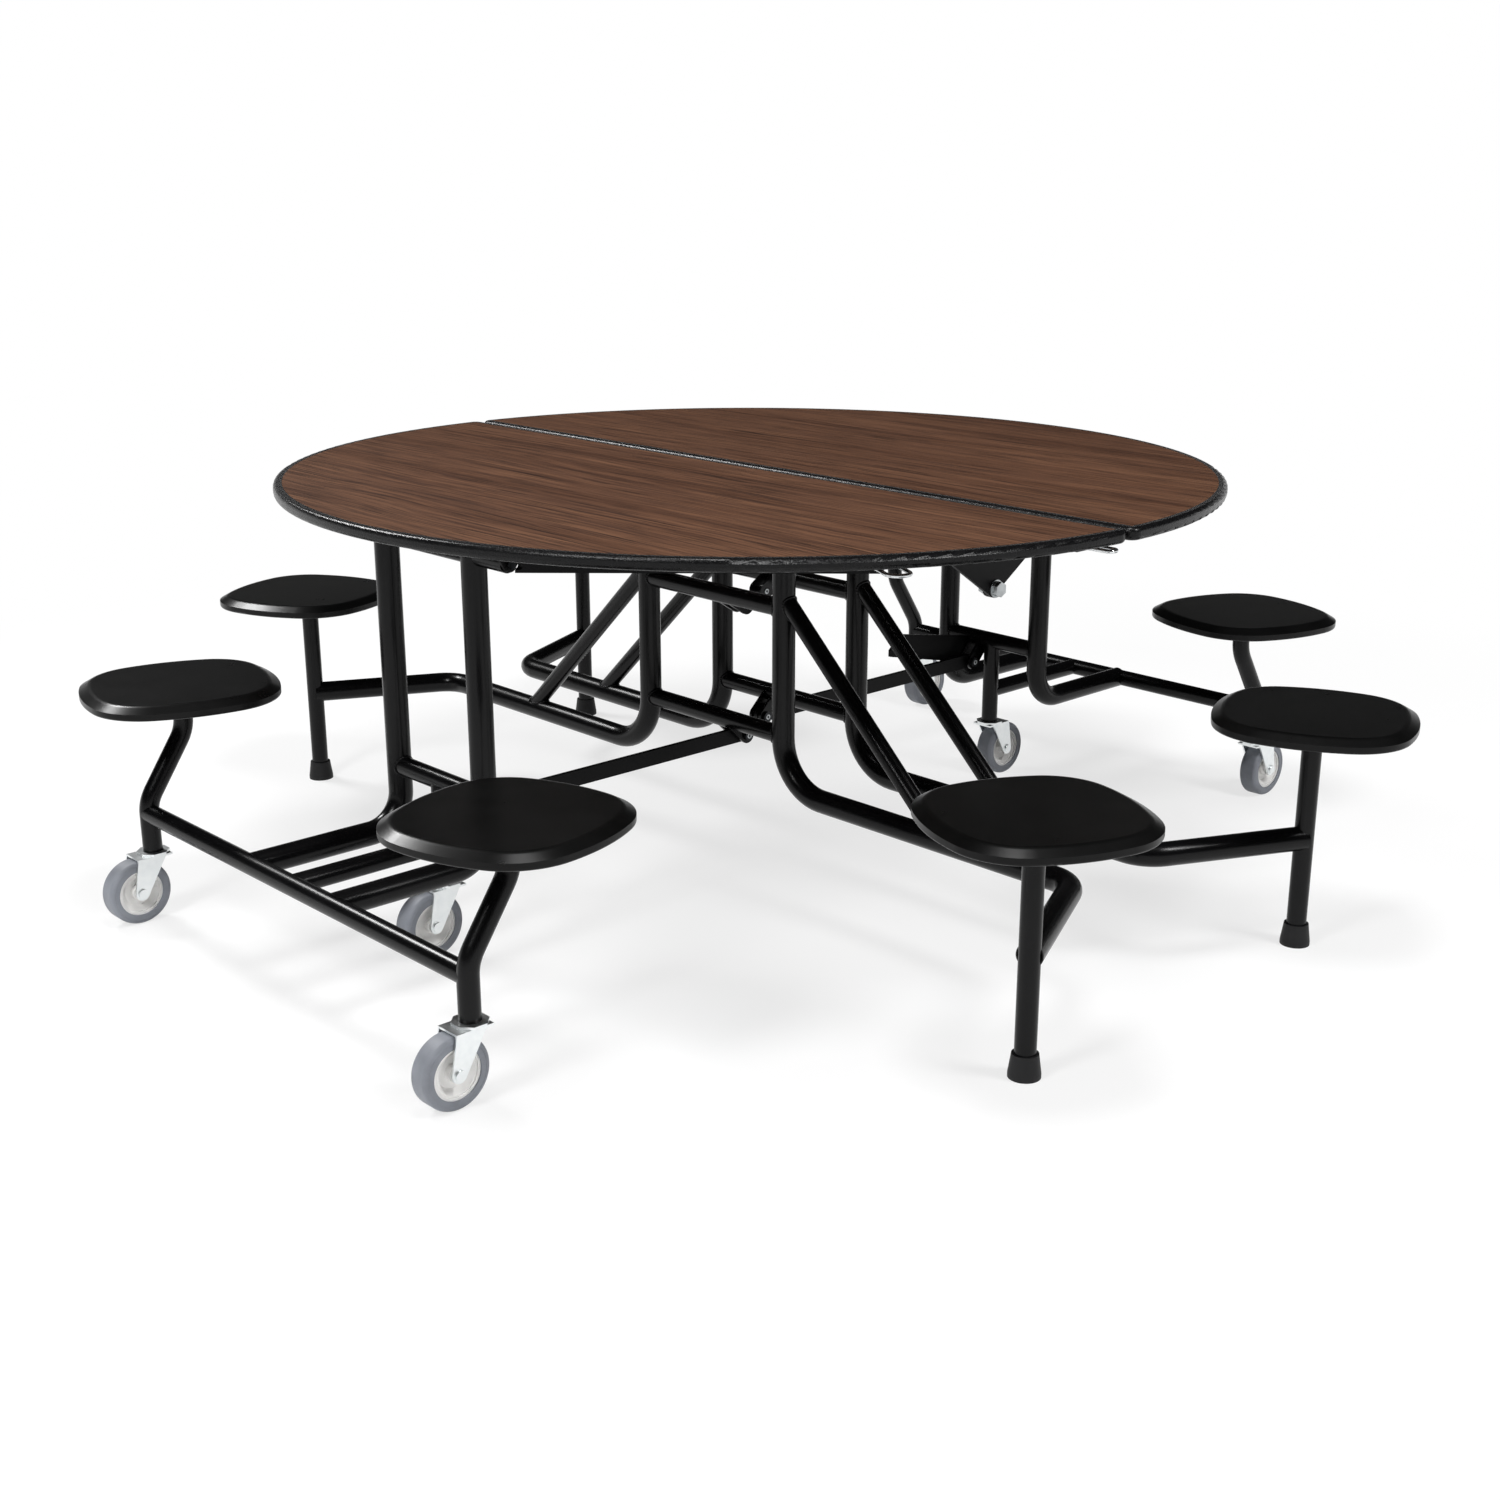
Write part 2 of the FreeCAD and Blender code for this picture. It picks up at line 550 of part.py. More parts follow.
def cut_through(body, name, plane, circles):
    """Cut round holes right through, both ways from an origin plane."""
    sketch = new_sketch(body, name + "_outline", plane)
    for centre, diameter in circles:
        draw_circle(sketch, centre, diameter)
    feature = body.newObject("PartDesign::Pocket", name)
    feature.Profile = sketch
    feature.Type = "ThroughAll"
    feature.SideType = "Symmetric"
    return feature


def ring(sketch, centre, outer, inner):
    draw_circle(sketch, centre, outer)
    draw_circle(sketch, centre, inner)


def bent_tube(body, name, plane, offset, pairs, bends, outer, inner=None, kind="AdditivePipe"):
    """Round tube, or bar where no inner size is given, swept along a bent path in a plane, or cut along it."""
    spine = new_sketch(body, name + "_path", plane, offset)
    edges = draw_path(spine, pairs, bends)
    doc.recompute()
    profile = body.newObject("Sketcher::SketchObject", name + "_section")
    profile.AttachmentSupport = [(spine, "Edge1")]
    profile.MapMode = "NormalToEdge"
    draw_circle(profile, ("0", "0"), outer)
    if inner:
        draw_circle(profile, ("0", "0"), inner)
    pipe = body.newObject("PartDesign::" + kind, name)
    pipe.Profile = profile
    pipe.Spine = (spine, edges)
    return pipe


def mirror(body, name, plane="XZ_Plane"):
    """Mirror the whole body so far."""
    feature = body.newObject("PartDesign::Mirrored", name)
    feature.TransformMode = "Whole shape"
    feature.MirrorPlane = (origin_item(body, plane), [""])
    body.Tip = feature
    return feature


def revolve(body, name, plane, draw, pairs, offset="0", shift_x="0"):
    """Full turn of a polygon about the sketch's upright axis."""
    sketch = new_sketch(body, name + "_outline", plane, offset, shift_x)
    draw(sketch, pairs)
    feature = body.newObject("PartDesign::Revolution", name)
    feature.Profile = sketch
    feature.ReferenceAxis = (sketch, ["V_Axis"])
    feature.Angle = 360
    return feature


def edges_where(feature, test):
    doc.recompute()
    found = []
    for i, edge in enumerate(feature.Shape.Edges, 1):
        if test(edge):
            found.append("Edge%d" % i)
    return found


def fillet(body, name, feature, test, size_name):
    blend = body.newObject("PartDesign::Fillet", name)
    blend.Base = (feature, edges_where(feature, test))
    bind(blend, "Radius", size_name)
    return blend


def upright_edge(edge):
    box = edge.BoundBox
    return box.ZLength > max(box.XLength, box.YLength) + NEAR


def edge_at_height(name):
    def test(edge):
        box = edge.BoundBox
        return box.ZLength < NEAR and abs(box.ZMin - size(name)) < NEAR
    return test


NEAR = 0.01
nodes = []


def keep(body, turned):
    """Take a finished body as a node; a turned one is set half a turn about Z."""
    if turned:
        body.Placement = FreeCAD.Placement(
            FreeCAD.Vector(0, 0, 0), FreeCAD.Rotation(FreeCAD.Vector(0, 0, 1), 180))
    nodes.append(body)


def make_panel(label):
    body = new_body(label)
    pad(body, label + "_board", "XY_Plane", "under_z", "top_height",
        draw_half_disc, "panel_radius", "panel_split", "panel_y")
    return body


def make_edge(label):
    body = new_body(label)
    slab = pad(body, label + "_slab", "XY_Plane", "under_z", "top_height",
               draw_half_disc, "top_radius", "half_gap", "rim_y")
    corners = fillet(body, label + "_corners", slab, upright_edge, "corner_round")
    over = fillet(body, label + "_upper", corners, edge_at_height("top_height"), "edge_round")
    fillet(body, label + "_lower", over, edge_at_height("under_z"), "edge_round")
    pocket(body, label + "_seat", "XY_Plane", "under_z", "top_height",
           draw_half_disc, "panel_radius", "panel_split", "panel_y")
    return body


def make_rails(label):
    """Steel under a half top: slanting rails, pivot ears, main hinge plates and latch guide."""
    body = new_body(label)
    pad(body, label + "_slant", "XY_Plane", "rail_z", "under_z", draw_polygon,
        [("-slant_ax", "-slant_ay"), ("-slant_bx", "-slant_by"),
         ("-slant_cx", "-slant_cy"), ("-slant_dx", "-slant_dy")])
    for name, x, inner, outer, near, far in (
            ("_end_ear", "-end_x", "-end_ear_in", "-end_ear_out", "-end_ear_b", "-end_ear_a"),
            ("_mid_ear", "-centre_x", "-mid_ear_in", "-mid_ear_out", "-mid_ear_b", "-mid_ear_a")):
        pad(body, label + name, "XZ_Plane", near, far,
            draw_drop, (outer, "under_z"), (inner, "under_z"), (x, "pivot_z"), "ear_radius")
    mirror(body, label + "_pair")
    cut_through(body, label + "_pin_holes", "XZ_Plane",
                [(("-end_x", "pivot_z"), "pin_od"), (("-centre_x", "pivot_z"), "pin_od")])
    pad(body, label + "_hinge_back", "XZ_Plane", "hinge_y", "hinge_in_b",
        draw_drop, ("-hinge_far", "under_z"), ("-hinge_near", "under_z"), ("0", "hinge_z"), "hinge_eye")
    pad(body, label + "_hinge_front", "XZ_Plane", "-hinge_out_b", "-hinge_left",
        draw_drop, ("-hinge_far", "under_z"), ("-hinge_near", "under_z"), ("0", "hinge_z"), "hinge_eye")
    cut_through(body, label + "_hinge_holes", "XZ_Plane", [(("0", "hinge_z"), "hinge_bore")])
    pad(body, label + "_guide", "XY_Plane", "guide_low", "under_z",
        draw_box, "-guide_out", "-guide_y", "-guide_in", "-guide_end")
    for side in ("wire_in", "wire_out"):
        pocket(body, label + "_guide_" + side, "XZ_Plane", "-guide_y", "-guide_end",
               draw_circle, ("-" + side, "wire_z"), "wire_bore")
    return body


def make_top_pins(label):
    """Pivot pins fixed in the ears, each turning in a bush in the end of a pivot tube."""
    body = new_body(label)
    for name, x, bush, ear, head in (("_end", "-end_x", "end_bush", "end_ear_b", "end_head"),
                                     ("_mid", "-centre_x", "mid_bush", "mid_ear_b", "mid_head")):
        at = (x, "pivot_z")
        pad(body, label + name, "XZ_Plane", bush, ear, draw_circle, at, "pin_od")
        pad(body, label + name + "_head", "XZ_Plane", ear, head, draw_circle, at, "ear_head")
    mirror(body, label + "_pair")
    return body


def make_hinge_bolts(label):
    body = new_body(label)
    at = ("0", "hinge_z")
    corners = [("hex_a", "hex_c_low"), ("hex_a", "hex_c_top"), ("0", "hex_a_top"),
               ("-hex_a", "hex_c_top"), ("-hex_a", "hex_c_low"), ("0", "hex_a_low")]
    pad(body, label + "_shank", "XZ_Plane", "bolt_shank_a", "bolt_shank_b", draw_circle, at, "hinge_bolt")
    pad(body, label + "_washer_in", "XZ_Plane", "bolt_shank_a", "hinge_y", draw_circle, at, "washer_od")
    pad(body, label + "_washer_out", "XZ_Plane", "hinge_out_b", "bolt_shank_b", draw_circle, at, "washer_od")
    pad(body, label + "_nut", "XZ_Plane", "bolt_nut_a", "bolt_shank_a", draw_polygon, corners)
    pad(body, label + "_head", "XZ_Plane", "bolt_shank_b", "bolt_head_b", draw_polygon, corners)
    mirror(body, label + "_pair")
    return body


def make_latch(label):
    body = new_body(label)
    bent_tube(body, label + "_wire", "XY_Plane", "wire_z",
              [("-wire_out", "-wire_tail"), ("-wire_out", "-wire_tip"),
               ("-wire_in", "-wire_tip"), ("-wire_in", "-wire_tail")],
              ["wire_bend", "wire_bend"], "wire_od")
    return body


def make_centre_uprights(label):
    body = new_body(label)
    bent_tube(body, label + "_upright", "YZ_Plane", "-centre_x",
              [("centre_y", "pivot_z"), ("centre_y", "run_height"), ("arm_start", "run_height")],
              ["centre_bend"], "main_od", "main_id")
    bent_tube(body, label + "_arm", "XY_Plane", "run_height",
              [("-centre_x", "arm_start"), ("-centre_x", "arm_turn_y"), ("-glide_x", "glide_y")],
              ["arm_bend"], "main_od", "main_id")
    cut_through(body, label + "_leg_cope", "XY_Plane", [(("-glide_x", "glide_y"), "leg_od")])
    mirror(body, label + "_pair")
    cut_through(body, label + "_pivot_cope", "XZ_Plane", [(("-centre_x", "pivot_z"), "pivot_od")])
    return body


def add_pivot_tube(body, label, x, half, bush):
    """Tube along Y that carries a top, with a bush in each end."""
    pad(body, label + "_pivot_tube", "XZ_Plane", "-" + half, half,
        ring, (x, "pivot_z"), "pivot_od", "pivot_id")
    pad(body, label + "_bush_front", "XZ_Plane", "-" + half, "-" + bush,
        ring, (x, "pivot_z"), "pivot_id", "pin_bore")
    pad(body, label + "_bush_back", "XZ_Plane", bush, half,
        ring, (x, "pivot_z"), "pivot_id", "pin_bore")


def make_centre_crossbars(label):
    """Crossbars, pivot tube and lugs of a centre frame."""
    body = new_body(label)
    for name, low, high in (("_near", "-lug_a", "-lug_b"), ("_far", "-lug_c", "-lug_d")):
        pad(body, label + "_low_lug" + name, "XZ_Plane", low, high,
            draw_slot, ("-centre_x", "low_bar_z"), ("-link_in_x", "link_z"), "lug_radius")
        pad(body, label + "_high_lug" + name, "XZ_Plane", low, high,
            draw_slot, ("-centre_x", "high_bar_z"), ("-link_in_x", "stay_z"), "lug_radius")
    cut_through(body, label + "_lug_holes", "XZ_Plane",
                [(("-centre_x", "low_bar_z"), "bar_od"), (("-centre_x", "high_bar_z"), "bar_od"),
                 (("-link_in_x", "link_z"), "pin_bore")])
    pad(body, label + "_stay_pin", "XZ_Plane", "-link_head_a", "-link_head_c",
        draw_circle, ("-link_in_x", "stay_z"), "pin_od")
    pad(body, label + "_low", "XZ_Plane", "-centre_y", "centre_y",
        ring, ("-centre_x", "low_bar_z"), "bar_od", "bar_id")
    pad(body, label + "_high", "XZ_Plane", "-centre_y", "centre_y",
        ring, ("-centre_x", "high_bar_z"), "bar_od", "bar_id")
    cut_through(body, label + "_copes", "XY_Plane",
                [(("-centre_x", "centre_y"), "main_od"), (("-centre_x", "-centre_y"), "main_od")])
    add_pivot_tube(body, label, "-centre_x", "mid_pivot_half", "mid_bush")
    return body


def make_centre_braces(label):
    body = new_body(label)
    bent_tube(body, label + "_brace", "YZ_Plane", "-centre_x",
              [("centre_y", "brace_top_z"), ("brace_foot_y", "run_height")], [], "brace_od", "brace_id")
    cut_through(body, label + "_upright_cope", "XY_Plane", [(("-centre_x", "centre_y"), "main_od")])
    cut_through(body, label + "_run_cope", "XZ_Plane", [(("-centre_x", "run_height"), "main_od")])
    mirror(body, label + "_pair")
    return body


def add_spindle(body, label, at):
    """Plug welded in the top of a stool tube, with a collar and the spindle the seat turns on."""
    pad(body, label + "_plug", "XY_Plane", "plug_foot", "post_top", draw_circle, at, "leg_id")
    pad(body, label + "_collar", "XY_Plane", "post_top", "collar_top", draw_circle, at, "collar_od")
    pad(body, label + "_spindle", "XY_Plane", "collar_top", "spindle_top", draw_circle, at, "spindle_od")


def make_glide_legs(label):
    body = new_body(label)
    at = ("-glide_x", "glide_y")
    pad(body, label + "_tube", "XY_Plane", "glide_sole", "post_top", ring, at, "leg_od", "leg_id")
    add_spindle(body, label, at)
    mirror(body, label + "_pair")
    return body


def make_glide_feet(label):
    body = new_body(label)
    revolve(body, label + "_cup", "XZ_Plane", draw_polygon,
            [("0", "0"), ("glide_r", "0"), ("glide_r", "glide_skirt"), ("glide_neck_r", "glide_high"),
             ("leg_r", "glide_high"), ("leg_r", "glide_sole"), ("0", "glide_sole")],
            "glide_y", "-glide_x")
    mirror(body, label + "_pair")
    return body


def make_end_uprights(label):
    body = new_body(label)
    bent_tube(body, label + "_upright", "XZ_Plane", "end_y",
              [("-end_x", "pivot_z"), ("-end_x", "run_height"), ("-stem_x", "run_height")],
              ["end_bend"], "main_od", "main_id")
    mirror(body, label + "_pair")
    cut_through(body, label + "_holes", "XZ_Plane",
                [(("-end_x", "pivot_z"), "pivot_od"), (("-stem_x", "run_height"), "outer_od")])
    return body


# Path of a bent stool post, from its caster socket up to its seat
POST_PATH = [("-stem_x", "tube_foot_z"), ("-stem_x", "jog_low_z"),
             ("-seat_x", "jog_high_z"), ("-seat_x", "post_top")]
POST_BENDS = ["post_bend", "post_bend"]


def make_end_crossbars(label):
    """Crossbar, outer cross tube, pivot tube and link lugs of an end frame."""
    body = new_body(label)
    for name, low, high in (("_near", "-lug_a", "-lug_b"), ("_far", "-lug_c", "-lug_d")):
        pad(body, label + "_lug" + name, "XZ_Plane", low, high,
            draw_slot, ("-end_x", "end_bar_z"), ("-link_out_x", "link_z"), "lug_radius")
    cut_through(body, label + "_lug_holes", "XZ_Plane",
                [(("-end_x", "end_bar_z"), "bar_od"), (("-link_out_x", "link_z"), "pin_bore")])
    pad(body, label + "_bar", "XZ_Plane", "-end_y", "end_y",
        ring, ("-end_x", "end_bar_z"), "bar_od", "bar_id")
    pad(body, label + "_outer", "XZ_Plane", "-stem_y", "stem_y",
        ring, ("-stem_x", "run_height"), "outer_od", "outer_id")
    cut_through(body, label + "_copes", "XY_Plane",
                [(("-end_x", "end_y"), "main_od"), (("-end_x", "-end_y"), "main_od")])
    for name, offset in (("_front_cope", "stem_y"), ("_back_cope", "-stem_y")):
        bent_tube(body, label + name, "XZ_Plane", offset, POST_PATH, POST_BENDS, "leg_od",
                  kind="SubtractivePipe")
    add_pivot_tube(body, label, "-end_x", "end_pivot_half", "end_bush")
    return body


def make_caster_post(label):
    body = new_body(label)
    at = ("-end_x", "0")
    pad(body, label + "_run", "YZ_Plane", "-stem_x", "-end_x",
        ring, ("0", "run_height"), "bar_od", "bar_id")
    cut_through(body, label + "_post_cope", "XY_Plane", [(at, "leg_od")])
    pad(body, label + "_post", "XY_Plane", "tube_foot_z", "end_bar_z", ring, at, "leg_od", "leg_id")
    pad(body, label + "_socket", "XY_Plane", "tube_foot_z", "socket_top", ring, at, "leg_id", "stem_bore")
    cut_through(body, label + "_bar_copes", "XZ_Plane",
                [(("-end_x", "end_bar_z"), "bar_od"), (("-stem_x", "run_height"), "outer_od")])
    return body


def make_stool_posts(label):
    body = new_body(label)
    bent_tube(body, label + "_post", "XZ_Plane", "-stem_y", POST_PATH, POST_BENDS, "leg_od", "leg_id")
    pad(body, label + "_socket", "XY_Plane", "tube_foot_z", "socket_top",
        ring, ("-stem_x", "stem_y"), "leg_id", "stem_bore")
    add_spindle(body, label, ("-seat_x", "stem_y"))
    mirror(body, label + "_pair")
    return body


def make_link(label):
    body = new_body(label)
    pad(body, label + "_bar", "XZ_Plane", "-link_a", "-link_b",
        draw_slot, ("-link_out_x", "link_z"), ("-link_in_x", "link_z"), "link_half")
    cut_through(body, label + "_holes", "XZ_Plane",
                [(("-link_out_x", "link_z"), "pin_od"), (("-link_in_x", "link_z"), "pin_od")])
    return body


def make_catch_plate(label):
    """Fold catch: a plate beside the right link, welded to the right end frame's crossbar."""
    body = new_body(label)
    pad(body, label + "_plate", "XZ_Plane", "catch_a", "catch_b", draw_polygon,
        [("catch_in", "catch_tip_top"), ("catch_in", "catch_tip_low"), ("end_x", "catch_root_low"),
         ("end_x", "end_bar_z"), ("catch_shoulder", "catch_peak")])
    cut_through(body, label + "_cope", "XZ_Plane", [(("end_x", "end_bar_z"), "bar_od")])
    return body


def make_link_pins(label):
    body = new_body(label)
    for name, x in (("_inner", "-link_in_x"), ("_outer", "-link_out_x")):
        at = (x, "link_z")
        pad(body, label + name, "XZ_Plane", "-link_head_a", "-link_head_c", draw_circle, at, "pin_od")
        pad(body, label + name + "_head", "XZ_Plane", "-link_head_b", "-link_head_a",
            draw_circle, at, "head_od")
        pad(body, label + name + "_tail", "XZ_Plane", "-link_head_c", "-link_head_d",
            draw_circle, at, "head_od")
    return body


def make_fork(label):
    """Stamped swivel fork about the stem axis, trailing towards minus X."""
    body = new_body(label)
    pad(body, label + "_leg", "XZ_Plane", "fork_half", "fork_out", draw_drop,
        ("-crown_back", "race_z"), ("fork_front", "race_z"), ("-trail", "wheel_radius"), "fork_eye")
    mirror(body, label + "_legs")
    pad(body, label + "_crown", "XY_Plane", "crown_z", "race_z",
        draw_box, "-crown_back", "-fork_out", "crown_front", "fork_out")
    pad(body, label + "_race", "XY_Plane", "race_z", "race_top", draw_polygon,
        [("race_a", "-race_b"), ("race_a", "race_b"), ("race_b", "race_a"), ("-race_b", "race_a"),
         ("-race_a", "race_b"), ("-race_a", "-race_b"), ("-race_b", "-race_a"), ("race_b", "-race_a")])
    pad(body, label + "_stem", "XY_Plane", "race_top", "stem_top", draw_circle, ("0", "0"), "caster_stem")
    at = ("-trail", "wheel_radius")
    pad(body, label + "_axle", "XZ_Plane", "-axle_out", "axle_out", draw_circle, at, "axle_od")
    for name, low, high in (("_head", "-axle_out", "-fork_out"), ("_tail", "fork_out", "axle_out")):
        pad(body, label + name, "XZ_Plane", low, high, draw_circle, at, "rivet_od")
    return body


def make_hub(label):
    """Wheel centre about its own axis along Y: boss, web, sloping dish, ledge and rim."""
    body = new_body(label)
    revolve(body, label + "_wheel", "XY_Plane", draw_polygon,
            [("axle_hole_r", "-hub_half"), ("boss_r", "-hub_half"), ("boss_r", "-web_half"),
             ("dish_r", "-web_half"), ("ledge_r", "-ledge_half"), ("rim_in_r", "-ledge_half"),
             ("rim_in_r", "-hub_half"), ("rim_r", "-hub_half"), ("rim_r", "hub_half"),
             ("rim_in_r", "hub_half"), ("rim_in_r", "ledge_half"), ("ledge_r", "ledge_half"),
             ("dish_r", "web_half"), ("boss_r", "web_half"), ("boss_r", "hub_half"),
             ("axle_hole_r", "hub_half")])
    return body


def make_tyre(label):
    body = new_body(label)
    turned = revolve(body, label + "_tread", "XY_Plane", draw_polygon,
                     [("rim_r", "-tread_half"), ("wheel_radius", "-tread_half"),
                      ("wheel_radius", "tread_half"), ("rim_r", "tread_half")])

    def shoulder(edge):
        return edge.BoundBox.XMax > size("wheel_radius") - NEAR and edge.BoundBox.YLength < NEAR
    fillet(body, label + "_shoulders", turned, shoulder, "tyre_round")
    return body


def draw_seat(sketch):
    """Four shallow arcs, one for each side of a seat."""
    r = size("seat_side")
    back = size("seat_centre")
    reach = (math.sqrt(2 * r * r - back * back) - back) / 2
    corner = math.atan2(reach, reach + back)
    sides = [(("-seat_centre", "0"), 0), (("0", "-seat_centre"), 1),
             (("seat_centre", "0"), 2), (("0", "seat_centre"), 3)]
    for centre, turns in sides:
        heading = turns * math.pi / 2
        circle = Part.Circle(point(centre), FreeCAD.Vector(0, 0, 1), r)
        geo = sketch.addGeometry(Part.ArcOfCircle(circle, heading - corner, heading + corner), False)
        fix(sketch, geo, 3, centre)
        radius(sketch, geo, "seat_side")
    for i in range(4):
        sketch.addConstraint(Sketcher.Constraint("Coincident", i, 2, (i + 1) % 4, 1))


def make_seat(label):
    """Moulded seat about its swivel axis: rounded-square shell with a hub underneath."""
    body = new_body(label)
    block = pad(body, label + "_block", "XY_Plane", "seat_low_z", "seat_top_z", draw_seat)
    corners = fillet(body, label + "_corners", block, upright_edge, "seat_corner")
    slope = body.newObject("PartDesign::Chamfer", label + "_slope")
    slope.Base = (corners, edges_where(corners, edge_at_height("seat_top_z")))
    slope.ChamferType = "Two distances"
    bind(slope, "Size", "seat_slope")
    bind(slope, "Size2", "seat_slope_high")
    crown = fillet(body, label + "_crown", slope, edge_at_height("seat_top_z"), "seat_crown")
    fillet(body, label + "_lip", crown, edge_at_height("seat_low_z"), "seat_edge")
    pocket(body, label + "_recess", "XY_Plane", "seat_low_z", "bore_top", draw_circle, ("0", "0"), "recess_od")
    pad(body, label + "_hub", "XY_Plane", "hub_low_z", "bore_top", draw_circle, ("0", "0"), "hub_od")
    pocket(body, label + "_bore", "XY_Plane", "hub_low_z", "bore_top", draw_circle, ("0", "0"), "spindle_bore")
    return body


HALF_NODES = [
    ("top_panel", make_panel), ("top_edge", make_edge), ("top_rails", make_rails),
    ("top_pins", make_top_pins), ("latch_loop", make_latch),
    ("centre_uprights", make_centre_uprights), ("centre_crossbars", make_centre_crossbars),
    ("centre_braces", make_centre_braces), ("glide_legs", make_glide_legs), ("glide_feet", make_glide_feet),
    ("end_uprights", make_end_uprights), ("end_crossbars", make_end_crossbars),
    ("caster_post", make_caster_post), ("stool_posts", make_stool_posts),
    ("link", make_link), ("link_pins", make_link_pins),
]
for side, turned in (("left", False), ("right", True)):
    for name, make in HALF_NODES:
        keep(make(side + "_" + name), turned)
keep(make_hinge_bolts("main_hinge_bolts"), False)
keep(make_catch_plate("catch_plate"), False)

# Seats and casters, each built about its own axis and then set in place
SEAT_END_TURN = 17
SEAT_GLIDE_TURN = 65
SEATS = [
    ("left_front_end_seat", "-seat_x", "-stem_y", 180 + SEAT_END_TURN),
    ("left_back_end_seat", "-seat_x", "stem_y", 180 - SEAT_END_TURN),
    ("right_front_end_seat", "seat_x", "-stem_y", -SEAT_END_TURN),
    ("right_back_end_seat", "seat_x", "stem_y", SEAT_END_TURN),
    ("left_front_glide_seat", "-glide_x", "-glide_y", 180 + SEAT_GLIDE_TURN),
    ("left_back_glide_seat", "-glide_x", "glide_y", 180 - SEAT_GLIDE_TURN),
    ("right_front_glide_seat", "glide_x", "-glide_y", -SEAT_GLIDE_TURN),
    ("right_back_glide_seat", "glide_x", "glide_y", SEAT_GLIDE_TURN),
]
CASTERS = [
    ("left_front", "-stem_x", "-stem_y", 0), ("left_back", "-stem_x", "stem_y", 0),
    ("left_inner", "-end_x", "0", 0), ("right_front", "stem_x", "-stem_y", 180),
    ("right_back", "stem_x", "stem_y", 180), ("right_inner", "end_x", "0", 180),
]


def set_down(body, x, y, z, turn):
    """Place a node by sheet names and a turn about Z."""
    body.Placement = FreeCAD.Placement(
        FreeCAD.Vector(0, 0, 0), FreeCAD.Rotation(FreeCAD.Vector(0, 0, 1), turn))
    for prop, text in (("x", x), ("y", y), ("z", z)):
        if text:
            body.setExpression("Placement.Base." + prop, text)
    nodes.append(body)


for label, x, y, turn in SEATS:
    set_down(make_seat(label), formula(x), formula(y), "", turn)
for label, x, y, turn in CASTERS:
    across = formula(x)
    along = "" if y == "0" else formula(y)
    trail = "-Sizes.trail" if turn == 0 else "+Sizes.trail"
    set_down(make_fork(label + "_fork"), across, along, "", turn)
    set_down(make_hub(label + "_hub"), across + trail, along, "Sizes.wheel_radius", turn)
    set_down(make_tyre(label + "_tyre"), across + trail, along, "Sizes.wheel_radius", turn)

doc.recompute()
os.makedirs("parts", exist_ok=True)
faults = []
for item in doc.Objects:
    if "Invalid" in item.State or "Error" in item.State:
        faults.append(item.Label)
for body in nodes:
    if body.Shape.isNull() or not body.Shape.isValid() or body.Shape.Volume <= 0:
        faults.append(body.Label)
if faults:
    raise RuntimeError("not built: " + ", ".join(faults))
for body in nodes:
    body.Shape.exportStep(os.path.join("parts", body.Label + ".step"))
    print(body.Label, len(body.Shape.Solids), round(body.Shape.Volume / 1000, 1))
print(len(nodes), "nodes")
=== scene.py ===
"""Looks of a round folding cafeteria table with attached swivel seats, on the frame that the CAD part gives."""

import json
import math

import bpy
import numpy as np
from mathutils import Euler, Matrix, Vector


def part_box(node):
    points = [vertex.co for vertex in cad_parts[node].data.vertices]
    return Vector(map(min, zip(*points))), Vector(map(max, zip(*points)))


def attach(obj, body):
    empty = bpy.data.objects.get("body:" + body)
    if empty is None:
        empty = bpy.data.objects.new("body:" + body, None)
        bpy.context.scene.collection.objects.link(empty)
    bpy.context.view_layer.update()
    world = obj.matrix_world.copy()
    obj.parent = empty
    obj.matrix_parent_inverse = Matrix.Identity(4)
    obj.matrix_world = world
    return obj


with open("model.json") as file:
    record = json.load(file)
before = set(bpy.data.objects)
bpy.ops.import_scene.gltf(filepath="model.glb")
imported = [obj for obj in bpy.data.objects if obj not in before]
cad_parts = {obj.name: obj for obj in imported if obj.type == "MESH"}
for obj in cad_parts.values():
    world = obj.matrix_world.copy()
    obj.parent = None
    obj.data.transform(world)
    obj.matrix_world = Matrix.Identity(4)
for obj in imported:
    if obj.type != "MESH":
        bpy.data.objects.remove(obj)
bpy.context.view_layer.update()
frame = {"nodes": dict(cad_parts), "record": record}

MM = 0.001

# Camera of the photograph, fitted to it: place in metres, angles in degrees, the image's side, focal length and
# principal point in pixels, and the sensor's width in millimetres
IMAGE_SIDE = 1500
CAMERA_PLACE = (-2.1532, -2.3026, 1.1583)
CAMERA_YAW = 43.643
CAMERA_PITCH = 17.477
CAMERA_ROLL = 0.13
FOCAL_PIXELS = 1924.2
PRINCIPAL_POINT = (769.6, 759.8)
SENSOR = 36.0

# The two halves, and the sign that turns a place by half a turn about Z from the left half to the right one
SIDES = {"left": 1, "right": -1}

# Sizes shared with the frame, in millimetres
# frames: places of the uprights, heights of the crossbars, then runs and braces, and the radii of the tubes
CENTRE_X, CENTRE_Y = 84, 165
END_X, END_Y = 632, 110
LOW_BAR_Z, HIGH_BAR_Z, END_BAR_Z = 263, 473, 270
RUN_Z, BRACE_TOP_Z, BRACE_FOOT_Y = 172, 492, 506
MAIN_RADIUS, BAR_RADIUS, BRACE_RADIUS = 18.5, 15, 14
# pins: the middle of the stay pin and of the link's two pins, and how far from it their rings sit
STAY_X, STAY_Y, STAY_Z = 50, 30, 451
STAY_HALF = 15
LINK_X, LINK_Y, LINK_Z = (50, 598), 30, 230
PIN_HALF = 19
# the middle of a wire handle, and half the width of a tyre
HANDLE_PLACE = (296, 576, 634)
TYRE_HALF = 16.5

